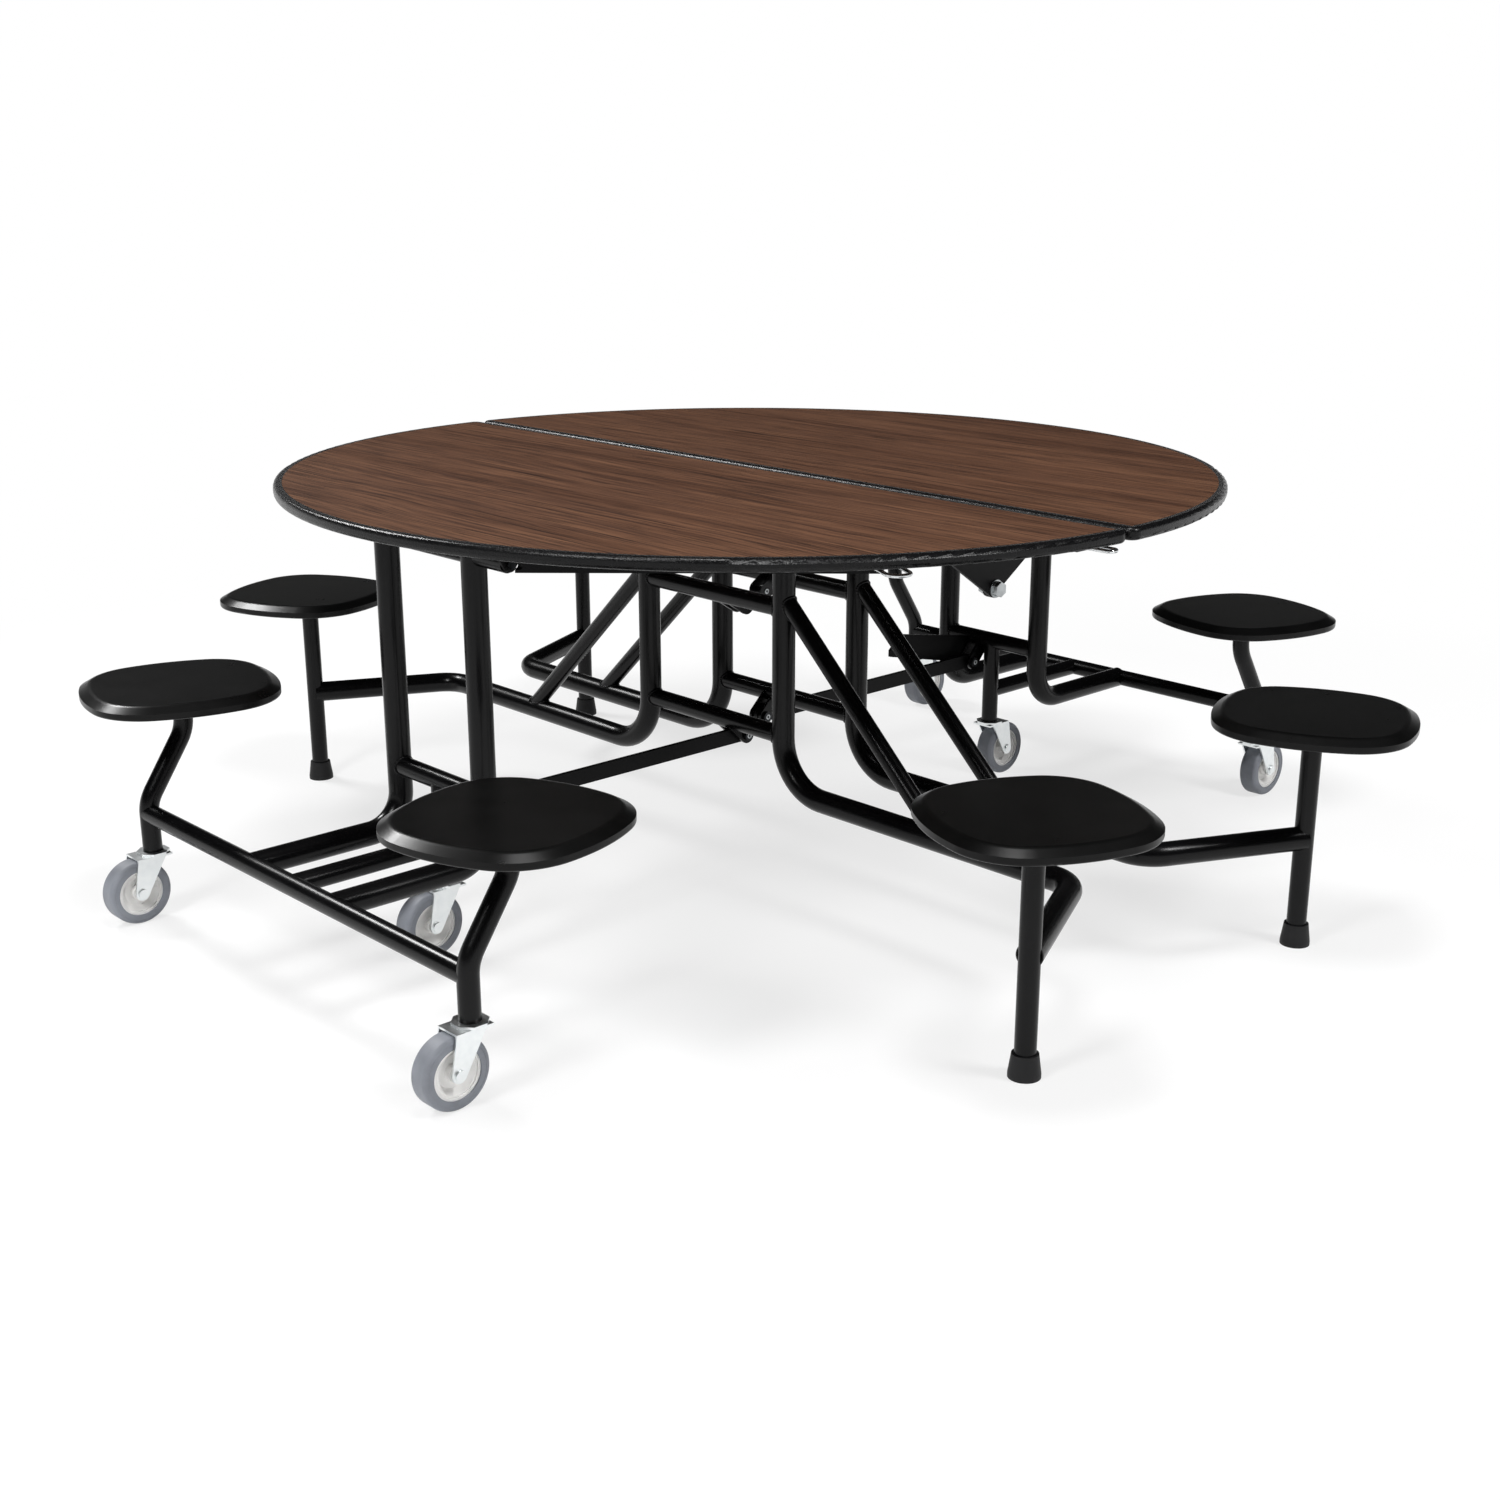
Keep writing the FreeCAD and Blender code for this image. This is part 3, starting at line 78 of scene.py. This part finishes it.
# Sizes of the small hardware, in millimetres
# ring: radius, half width and half thickness; handle: half length, half width and wire radius
PIN_RING = (3.4, 1.3, 0.6)
HANDLE_SIZE = (70, 17, 3)
# line on a tyre: how far inside the tread it runs, its half width and half thickness
TYRE_LINE = (6.5, 0.7, 0.45)
# weld bead: its radius, how much it swells at each ripple, and the ripples round a tube
BEAD, BEAD_SWELL, BEAD_RIPPLES = 2.4, 0.10, 26

# Studio: sines of the heights where the white wall that glossy surfaces see ends and the dark ceiling starts, the
# level of that ceiling, and the level at which the room lights dull surfaces
WALL_TOP, CEILING = 0.0, 0.13
CEILING_LEVEL, ROOM_LIGHT = 0.02, 0.18
# Floor: half its side and where its fade to white starts and ends, in metres; its grey; the share of white near the
# table
FLOOR_HALF = 14.0
FLOOR_NEAR, FLOOR_FAR = 1.1, 2.6
FLOOR_GREY = (0.9, 0.9, 0.9, 1)
FLOOR_WHITE = 0.72
WHITE = (1, 1, 1, 1)
# Lamps: place, aim and size in metres, power in watts
LAMPS = {
    "overhead": ((-0.7, -0.8, 3.7), (0, 0, 0.4), (1.1, 1.1), 94),
    "back": ((-0.9, 3.3, 3.2), (0, 0, 0.5), (1.1, 0.6), 110),
    "left": ((-3.0, -0.6, 2.7), (0, 0, 0.3), (0.7, 1.0), 62),
    "right": ((0.8, -2.8, 3.0), (0, 0, 0.3), (0.8, 1.0), 70),
}

# Laminate, in millimetres: the thickness of its printed face, and how far its grain wanders aside
FACE_DEPTH, DRIFT = 2, 20
# its patterns: width of the grains in mm, how much longer they are along each axis, octaves, roughness of the octaves
DRIFT_CLOUD = (160, (1, 3, 1), 2)
BROAD = (60, (1, 16, 1), 3)
STREAK = (3.2, (1, 110, 1), 4, 0.65)
PORE = (1.7, (1, 70, 1), 2)
# its pores: how much of their dark shows, their depth in mm and the strength of their relief
PORE_DARK, PORE_DEPTH, PORE_RELIEF = 0.8, 0.05, 0.2
# its roughness in a pore and between pores, and its specular level
PORE_ROUGH, FACE_ROUGH, FACE_SPECULAR = 0.56, 0.48, 0.12
# the width of the clouds of tone on its backing sheet, in mm
BACKING_CLOUD = 40

# Widths of the clouds of tone on other finishes, in millimetres, and the octaves of a skin's grain
PAINT_CLOUD, METAL_CLOUD, MOULDED_CLOUD, EDGE_CLOUD = 60, 14, 45, 9
SKIN_DETAIL = 3
# Skins: width of the grains in mm, how much longer they run upwards, depth in mm and strength
# the peel of a powder coat and the lines of rolled steel are drawn coarser than real ones so that they show
ORANGE_PEEL = (3.5, 1, 0.02, 0.12)
ROLLING_LINES = (0.9, 14, 0.01, 0.1)
PEBBLES = (2.2, 1, 0.5, 0.9)
POLISHED_TOOL = (0.8, 1, 0.02, 0.3)
NYLON_SKIN = (1.2, 1, 0.02, 0.2)
RUBBER_SKIN = (1.0, 1, 0.05, 0.3)

# Values of a pattern at which a ramp of two tones reaches its darker and its lighter one
DARKER, LIGHTER = 0.3, 0.7
# How much of a direction along x makes it need a helper along y
MOSTLY_X = 0.9
# Places of the colour sockets of a Mix node
MIX_A, MIX_B, MIX_OUT = 6, 7, 2


def linear(code):
    """Linear colour of an sRGB hex value, with full alpha."""
    parts = np.array([int(code[k:k + 2], 16) for k in (0, 2, 4)]) / 255
    low = parts / 12.92
    high = ((parts + 0.055) / 1.055) ** 2.4
    return (*np.where(parts <= 0.04045, low, high), 1.0)


def add(tree, kind, inputs=None, stops=(), **settings):
    """One node with its settings.

    An input is a value, or a socket of another node to link from. stops are a ramp's (place, hex) colours."""
    node = tree.nodes.new(kind)
    for name, value in settings.items():
        setattr(node, name, value)
    for name, value in (inputs or {}).items():
        if isinstance(value, bpy.types.NodeSocket):
            tree.links.new(value, node.inputs[name])
        else:
            node.inputs[name].default_value = value
    for i, (place, code) in enumerate(stops):
        line = node.color_ramp.elements
        stop = line[i] if i < len(line) else line.new(place)
        stop.position, stop.color = place, linear(code)
    return node


def empty_tree(owner):
    """The bare node tree of a material or world."""
    owner.use_nodes = True
    owner.node_tree.nodes.clear()
    return owner.node_tree


def mottle(tree, size_mm, stretch=(1, 1, 1), detail=4.0, roughness=0.5, place=None):
    """A mottled pattern on Object coordinates, whose grains are size_mm wide and longer by stretch along each axis."""
    place = place or add(tree, "ShaderNodeTexCoord").outputs["Object"]
    scale = [1 / (size_mm * MM * s) for s in stretch]
    spread = add(tree, "ShaderNodeMapping", {"Vector": place, "Scale": scale}).outputs["Vector"]
    return add(tree, "ShaderNodeTexNoise", {"Vector": spread, "Scale": 1.0, "Detail": detail,
                                            "Roughness": roughness}).outputs["Fac"]


def walnut_laminate():
    """High-pressure laminate with a printed walnut: long streaks along the split, fine dark pores, a satin face.

    Real pores are about 0.2 mm wide. They are drawn 1.7 mm wide, so that they show in a render. Below the face the
    board shows the plain brown of its phenolic backing sheet."""
    material = bpy.data.materials.new("walnut_laminate")
    tree = empty_tree(material)
    place = add(tree, "ShaderNodeTexCoord").outputs["Object"]
    drift = add(tree, "ShaderNodeMapRange", {"Value": mottle(tree, *DRIFT_CLOUD), "To Min": -DRIFT * MM,
                                             "To Max": DRIFT * MM})
    aside = add(tree, "ShaderNodeCombineXYZ", {"X": drift.outputs["Result"]})
    wander = add(tree, "ShaderNodeVectorMath", {0: place, 1: aside.outputs["Vector"]},
                 operation="ADD").outputs["Vector"]
    broad = mottle(tree, *BROAD, place=wander)
    streak = mottle(tree, *STREAK, place=wander)
    pore = mottle(tree, *PORE, place=wander)
    base = add(tree, "ShaderNodeValToRGB", {"Fac": streak},
               [(0.32, "281a14"), (0.44, "452d20"), (0.55, "553a2a"), (0.68, "634531")])
    tone = add(tree, "ShaderNodeValToRGB", {"Fac": broad}, [(0.34, "dcd6d2"), (0.52, "ffffff")])
    dark = add(tree, "ShaderNodeValToRGB", {"Fac": pore}, [(0.36, "4a3b33"), (0.46, "ffffff")])
    figure = add(tree, "ShaderNodeMix", {"Factor": 1.0, MIX_A: base.outputs["Color"], MIX_B: tone.outputs["Color"]},
                 data_type="RGBA", blend_type="MULTIPLY")
    grain = add(tree, "ShaderNodeMix", {"Factor": PORE_DARK, MIX_A: figure.outputs[MIX_OUT],
                                        MIX_B: dark.outputs["Color"]}, data_type="RGBA", blend_type="MULTIPLY")
    height = add(tree, "ShaderNodeSeparateXYZ", {0: place})
    face_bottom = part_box("left_top_panel")[1][2] - FACE_DEPTH * MM
    below = add(tree, "ShaderNodeMath", {0: height.outputs["Z"], 1: face_bottom}, operation="LESS_THAN")
    backing = add(tree, "ShaderNodeValToRGB", {"Fac": mottle(tree, BACKING_CLOUD)},
                  [(DARKER, "2c2420"), (LIGHTER, "352b26")])
    board = add(tree, "ShaderNodeMix", {"Factor": below.outputs["Value"], MIX_A: grain.outputs[MIX_OUT],
                                        MIX_B: backing.outputs["Color"]}, data_type="RGBA")
    satin = add(tree, "ShaderNodeMapRange", {"Value": pore, "To Min": PORE_ROUGH, "To Max": FACE_ROUGH})
    relief = add(tree, "ShaderNodeBump", {"Height": pore, "Distance": PORE_DEPTH * MM, "Strength": PORE_RELIEF})
    face = add(tree, "ShaderNodeBsdfPrincipled", {
        "Base Color": board.outputs[MIX_OUT], "Roughness": satin.outputs["Result"],
        "Specular IOR Level": FACE_SPECULAR, "Normal": relief.outputs["Normal"]})
    add(tree, "ShaderNodeOutputMaterial", {"Surface": face.outputs["BSDF"]})
    return material


def finish(name, tones, cloud_mm, roughness, skin, specular=0.5, metal=0.0):
    """A finish whose tone and roughness wander over soft clouds, with the fine relief of its skin.

    tones: the darker and the lighter colour; cloud_mm: the width of a cloud; roughness: lowest and highest;
    skin: one of the skins above; specular and metal: levels from 0 to 1."""
    material = bpy.data.materials.new(name)
    tree = empty_tree(material)
    cloud = mottle(tree, cloud_mm)
    width_mm, upwards, depth_mm, strength = skin
    grain = mottle(tree, width_mm, (1, 1, upwards), SKIN_DETAIL)
    tone = add(tree, "ShaderNodeValToRGB", {"Fac": cloud}, [(DARKER, tones[0]), (LIGHTER, tones[1])])
    gloss = add(tree, "ShaderNodeMapRange", {"Value": cloud, "To Min": roughness[0], "To Max": roughness[1]})
    relief = add(tree, "ShaderNodeBump", {"Height": grain, "Distance": depth_mm * MM, "Strength": strength})
    face = add(tree, "ShaderNodeBsdfPrincipled", {
        "Base Color": tone.outputs["Color"], "Roughness": gloss.outputs["Result"], "Metallic": metal,
        "Specular IOR Level": specular, "Normal": relief.outputs["Normal"]})
    add(tree, "ShaderNodeOutputMaterial", {"Surface": face.outputs["BSDF"]})
    return material


FINISHES = {
    # printed walnut under a satin melamine face: brown streaks, no mirror image
    "laminate": walnut_laminate(),
    # vinyl moulded in a pebbled tool: black, with sparks of light on the grains where the edge turns to the light
    "edge_band": finish("pebbled_vinyl_edge", ("070708", "0e0e0f"), EDGE_CLOUD, (0.24, 0.30), PEBBLES, 0.22),
    # powder-coated tube: near black, with a soft line of light along it
    "tube_paint": finish("black_powder_coat", ("060607", "0a0a0b"), PAINT_CLOUD, (0.22, 0.28), ORANGE_PEEL, 0.20),
    # powder coat on flat plate and bar: the same black, duller
    "bracket_paint": finish("satin_black_steel", ("060607", "0a0a0b"), PAINT_CLOUD, (0.40, 0.50), ORANGE_PEEL, 0.14),
    # black zinc on turned pins: dark metal with a faint shine
    "pin_zinc": finish("black_zinc_pins", ("2b2c2e", "3d3f41"), METAL_CLOUD, (0.30, 0.40), ROLLING_LINES, metal=1.0),
    # clear zinc on bolts: pale grey metal
    "bolt_zinc": finish("zinc_bolts", ("b4b8ba", "d0d4d5"), METAL_CLOUD, (0.30, 0.40), ROLLING_LINES, metal=1.0),
    # bright zinc on stamped forks: nearly white metal with cloudy reflections
    "fork_zinc": finish("zinc_forks", ("e9edee", "f4f7f7"), METAL_CLOUD, (0.30, 0.38), ROLLING_LINES, metal=1.0),
    # chrome on drawn wire: clear reflections
    "latch_chrome": finish("chrome_wire", ("d4d7d9", "ebedee"), METAL_CLOUD, (0.10, 0.18), ROLLING_LINES, metal=1.0),
    # polypropylene moulded in a polished tool: black, smooth, with light along the rim
    "seat_plastic": finish("black_polypropylene", ("050505", "090909"), MOULDED_CLOUD, (0.26, 0.31), POLISHED_TOOL,
                           0.19),
    # moulded nylon: off-white, a little glossy
    "hub_plastic": finish("off_white_nylon", ("e6e5e3", "f2f1ef"), MOULDED_CLOUD, (0.44, 0.52), NYLON_SKIN, 0.40),
    # moulded rubber tread: mid grey, dull
    "tyre_rubber": finish("grey_rubber", ("777a81", "898d95"), MOULDED_CLOUD, (0.46, 0.56), RUBBER_SKIN, 0.40),
    # moulded rubber feet: charcoal, dull
    "glide_rubber": finish("charcoal_rubber", ("1b1b1c", "252526"), MOULDED_CLOUD, (0.50, 0.60), RUBBER_SKIN, 0.25),
}


def dress_frame():
    """Every CAD node takes the finish of its own slot."""
    for entry in frame["record"]["subparts"]:
        node = frame["nodes"][entry["node"]]
        node.data.materials.clear()
        node.data.materials.append(FINISHES[entry["material_slot"]])


def add_piece(name, grids, slot, body):
    """One mesh of several closed-round grids (rows, columns, 3), in millimetres, smooth, riding on a body.

    A grid whose faces would enclose a negative volume is turned over, so that all faces look outwards."""
    points, faces, start = [], [], 0
    for grid in grids:
        ahead, across = np.roll(grid, -1, axis=0) - grid, np.roll(grid, -1, axis=1) - grid
        if np.sum((grid - grid.mean(axis=(0, 1))) * np.cross(ahead, across)) < 0:
            grid = grid[::-1]
        rows, columns = grid.shape[:2]
        index = start + np.arange(rows * columns).reshape(rows, columns)
        across = np.roll(index, -1, axis=1)
        ahead = np.roll(index, -1, axis=0)
        both = np.roll(ahead, -1, axis=1)
        faces.append(np.stack([index, ahead, both, across], axis=-1).reshape(-1, 4))
        points.append(grid.reshape(-1, 3))
        start += rows * columns
    mesh = bpy.data.meshes.new(name)
    mesh.from_pydata((np.concatenate(points) * MM).tolist(), [], np.concatenate(faces).tolist())
    mesh.shade_smooth()
    mesh.materials.append(FINISHES[slot])
    piece = bpy.data.objects.new(name, mesh)
    bpy.context.scene.collection.objects.link(piece)
    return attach(piece, body)


def round_trip(steps):
    """Angles of one full turn, the last one not repeated."""
    return np.linspace(0, 2 * math.pi, steps, endpoint=False)


def across_of(direction):
    """Two unit vectors square to a direction and to each other."""
    helper = np.array([1.0, 0, 0]) if abs(direction[0]) < MOSTLY_X else np.array([0, 1.0, 0])
    first = np.cross(direction, helper)
    first /= np.linalg.norm(first)
    return first, np.cross(direction, first)


def weld_bead(corner, branch, branch_radius, main, steps=156, sides=10):
    """Bead round the line where a branch tube meets a main tube.

    A point of the branch's circle slides along the branch until its distance from the main axis is the main
    radius, which is the larger root of a quadratic. The bead is a small circle carried round that line, and its
    radius swells and shrinks a little with each ripple."""
    branch = np.array(branch, float) / np.linalg.norm(branch)
    main = np.array(main, float)
    first, second = across_of(branch)
    turn = round_trip(steps)[:, None]
    radial = np.cos(turn) * first + np.sin(turn) * second
    flat = radial - (radial @ main)[:, None] * main
    along = branch - (branch @ main) * main
    a = along @ along
    b = 2 * branch_radius * (flat @ along)
    c = branch_radius ** 2 * np.sum(flat * flat, axis=1) - MAIN_RADIUS ** 2
    slide = (-b + np.sqrt(np.maximum(b * b - 4 * a * c, 0))) / (2 * a)
    line = np.array(corner, float) + branch_radius * radial + slide[:, None] * branch
    ahead = np.roll(line, -1, axis=0) - np.roll(line, 1, axis=0)
    ahead /= np.linalg.norm(ahead, axis=1, keepdims=True)
    out = radial - np.sum(radial * ahead, axis=1, keepdims=True) * ahead
    out /= np.linalg.norm(out, axis=1, keepdims=True)
    side = np.cross(ahead, out)
    swell = BEAD * (1 + BEAD_SWELL * np.cos(BEAD_RIPPLES * turn))
    angle = round_trip(sides)[None, :, None]
    return line[:, None] + swell[:, None] * (np.cos(angle) * out[:, None] + np.sin(angle) * side[:, None])


def weld_frames():
    """Beads where crossbars and braces meet the uprights and runs of each frame."""
    up, across = (0, 0, 1), (0, 1, 0)
    slope = np.array([0, BRACE_FOOT_Y - CENTRE_Y, RUN_Z - BRACE_TOP_Z], float)
    for side, sign in SIDES.items():
        centre, end = [], []
        for hand in (-1, 1):
            inwards, mirror = (0, -hand, 0), np.array([1, hand, 1])
            upright_x, upright_y = -sign * CENTRE_X, hand * CENTRE_Y
            for height in (LOW_BAR_Z, HIGH_BAR_Z):
                centre.append(weld_bead((upright_x, upright_y, height), inwards, BAR_RADIUS, up))
            centre.append(weld_bead((upright_x, upright_y, BRACE_TOP_Z), slope * mirror, BRACE_RADIUS, up))
            centre.append(weld_bead((upright_x, hand * BRACE_FOOT_Y, RUN_Z), -slope * mirror, BRACE_RADIUS, across))
            end.append(weld_bead((-sign * END_X, hand * END_Y, END_BAR_Z), inwards, BAR_RADIUS, up))
        add_piece(f"{side}_centre_welds", centre, "tube_paint", f"{side}_centre")
        add_piece(f"{side}_end_welds", end, "tube_paint", f"{side}_end")


def ring(centre, axis, radius, half_wide, half_thick, steps=64, sides=12):
    """A flat ring about an axis: an ellipse, half_wide along the radius, carried round a circle."""
    axis = np.array(axis, float)
    first, second = across_of(axis)
    turn = round_trip(steps)[:, None]
    radial = (np.cos(turn) * first + np.sin(turn) * second)[:, None]
    angle = round_trip(sides)[None, :, None]
    reach = radius + half_wide * np.cos(angle)
    return np.array(centre, float) + reach * radial + half_thick * np.sin(angle) * axis


def wire_link(centre, along, half_long, half_wide, wire_radius, bend_steps=32, sides=14):
    """A closed wire link that lies flat: a circle carried round two straights that two half circles join."""
    along = np.array([*along, 0], float) / math.hypot(*along)
    aside = np.array([-along[1], along[0], 0])
    turn = np.linspace(-math.pi / 2, math.pi / 2, bend_steps)
    straight = half_long - half_wide
    turn = np.concatenate([turn, turn + math.pi])[:, None]
    shift = np.repeat([straight, -straight], bend_steps)[:, None]
    out = np.cos(turn) * along + np.sin(turn) * aside
    line = np.array(centre, float) + shift * along + half_wide * out
    angle = round_trip(sides)[None, :, None]
    return line[:, None] + wire_radius * (np.cos(angle) * out[:, None] + np.sin(angle) * np.array([0, 0, 1.0]))


def fit_hardware():
    """Bright rings on the pins of each link and stay, a wire handle under each half top and a line on each tyre."""
    across = (0, 1, 0)
    for side, sign in SIDES.items():
        stays = [ring((-sign * STAY_X, -sign * STAY_Y + hand * STAY_HALF, STAY_Z), across, *PIN_RING)
                 for hand in (-1, 1)]
        add_piece(f"{side}_stay_rings", stays, "bolt_zinc", f"{side}_centre")
        pins = [ring((-sign * x, -sign * LINK_Y + hand * PIN_HALF, LINK_Z), across, *PIN_RING)
                for x in LINK_X for hand in (-1, 1)]
        add_piece(f"{side}_link_rings", pins, "bolt_zinc", f"{side}_link")
        grip = np.array([-sign * HANDLE_PLACE[0], -sign * HANDLE_PLACE[1], HANDLE_PLACE[2]])
        add_piece(f"{side}_wire_handle", [wire_link(grip, grip[:2], *HANDLE_SIZE)], "latch_chrome", f"{side}_top")
    inside, *section = TYRE_LINE
    for joint in frame["record"]["behaviour"]["joints"]:
        if joint["name"].endswith("_wheel_spin"):
            centre, axle = np.array(joint["pos_m"]) / MM, np.array(joint["axis"], float)
            # a wheel stands on the floor, so the height of its centre is its radius
            radius = centre[2] - inside
            lines = [ring(centre + hand * TYRE_HALF * axle, axle, radius, *section) for hand in (-1, 1)]
            add_piece(f"{joint['child']}_tyre_lines", lines, "tyre_rubber", joint["child"])


def light(name, place, aim, size, power):
    """A large soft lamp that looks at a point."""
    data = bpy.data.lights.new(name, "AREA")
    data.shape = "RECTANGLE"
    data.size, data.size_y = size
    data.energy = power
    lamp = bpy.data.objects.new(name, data)
    lamp.location = place
    east, north, rise = np.array(aim) - np.array(place)
    lamp.rotation_euler = Euler((math.atan2(math.hypot(east, north), -rise), 0, math.atan2(-east, north)))
    bpy.context.scene.collection.objects.link(lamp)


def seen_rays(tree):
    """1 for a ray from the camera or off a glossy or clear surface, 0 for one that only lights a dull surface."""
    path = add(tree, "ShaderNodeLightPath").outputs
    sharp = add(tree, "ShaderNodeMath", {0: path["Is Camera Ray"], 1: path["Is Glossy Ray"]}, operation="MAXIMUM")
    return add(tree, "ShaderNodeMath", {0: sharp.outputs["Value"], 1: path["Is Transmission Ray"]},
               operation="MAXIMUM").outputs["Value"]


def surroundings():
    """White for the camera; glossy surfaces see white up to the horizon and a dark ceiling above it."""
    world = bpy.data.worlds.new("studio")
    bpy.context.scene.world = world
    tree = empty_tree(world)
    camera_ray = add(tree, "ShaderNodeLightPath").outputs["Is Camera Ray"]
    rise = add(tree, "ShaderNodeSeparateXYZ", {0: add(tree, "ShaderNodeTexCoord").outputs["Generated"]})
    wall = add(tree, "ShaderNodeMapRange", {"Value": rise.outputs["Z"], "From Min": WALL_TOP, "From Max": CEILING,
                                            "To Min": 1.0, "To Max": CEILING_LEVEL}, interpolation_type="SMOOTHSTEP")
    shown = add(tree, "ShaderNodeMath", {0: wall.outputs["Result"], 1: camera_ray}, operation="MAXIMUM")
    level = add(tree, "ShaderNodeMix", {"Factor": seen_rays(tree), "A": ROOM_LIGHT, "B": shown.outputs["Value"]},
                data_type="FLOAT")
    sky = add(tree, "ShaderNodeBackground", {"Color": WHITE, "Strength": level.outputs["Result"]})
    add(tree, "ShaderNodeOutputWorld", {"Surface": sky.outputs["Background"]})


def pale_floor():
    """A pale matt floor that shows the table's soft shadow near it and fades to plain white further out."""
    mesh = bpy.data.meshes.new("floor")
    corners = [(x * FLOOR_HALF, y * FLOOR_HALF, 0) for x, y in ((-1, -1), (1, -1), (1, 1), (-1, 1))]
    mesh.from_pydata(corners, [], [(0, 1, 2, 3)])
    floor = bpy.data.objects.new("floor", mesh)
    bpy.context.scene.collection.objects.link(floor)
    material = bpy.data.materials.new("pale_floor")
    tree = empty_tree(material)
    place = add(tree, "ShaderNodeTexCoord").outputs["Object"]
    reach = add(tree, "ShaderNodeVectorMath", {0: place}, operation="LENGTH")
    fade = add(tree, "ShaderNodeMapRange", {"Value": reach.outputs["Value"], "From Min": FLOOR_NEAR,
                                            "From Max": FLOOR_FAR, "To Min": FLOOR_WHITE},
               interpolation_type="SMOOTHSTEP")
    share = add(tree, "ShaderNodeMath", {0: fade.outputs["Result"], 1: seen_rays(tree)}, operation="MULTIPLY")
    matt = add(tree, "ShaderNodeBsdfDiffuse", {"Color": FLOOR_GREY})
    white = add(tree, "ShaderNodeEmission", {"Color": WHITE, "Strength": 1.0})
    both = add(tree, "ShaderNodeMixShader", {0: share.outputs["Value"], 1: matt.outputs["BSDF"],
                                             2: white.outputs["Emission"]})
    add(tree, "ShaderNodeOutputMaterial", {"Surface": both.outputs["Shader"]})
    mesh.materials.append(material)


def camera():
    """The photograph's own view."""
    data = bpy.data.cameras.new("camera")
    data.sensor_width = SENSOR
    data.lens = SENSOR * FOCAL_PIXELS / IMAGE_SIDE
    data.shift_x = (IMAGE_SIDE / 2 - PRINCIPAL_POINT[0]) / IMAGE_SIDE
    data.shift_y = (PRINCIPAL_POINT[1] - IMAGE_SIDE / 2) / IMAGE_SIDE
    view = bpy.data.objects.new("camera", data)
    view.location = CAMERA_PLACE
    turned = Euler((math.radians(90 - CAMERA_PITCH), 0, math.radians(-CAMERA_YAW))).to_matrix()
    rolled = Euler((0, 0, math.radians(CAMERA_ROLL))).to_matrix()
    view.rotation_euler = (turned @ rolled).to_euler()
    bpy.context.scene.collection.objects.link(view)
    bpy.context.scene.camera = view


bpy.context.scene.view_settings.view_transform = "Standard"
dress_frame()
weld_frames()
fit_hardware()
surroundings()
pale_floor()
for lamp_name, lamp in LAMPS.items():
    light(lamp_name, *lamp)
camera()
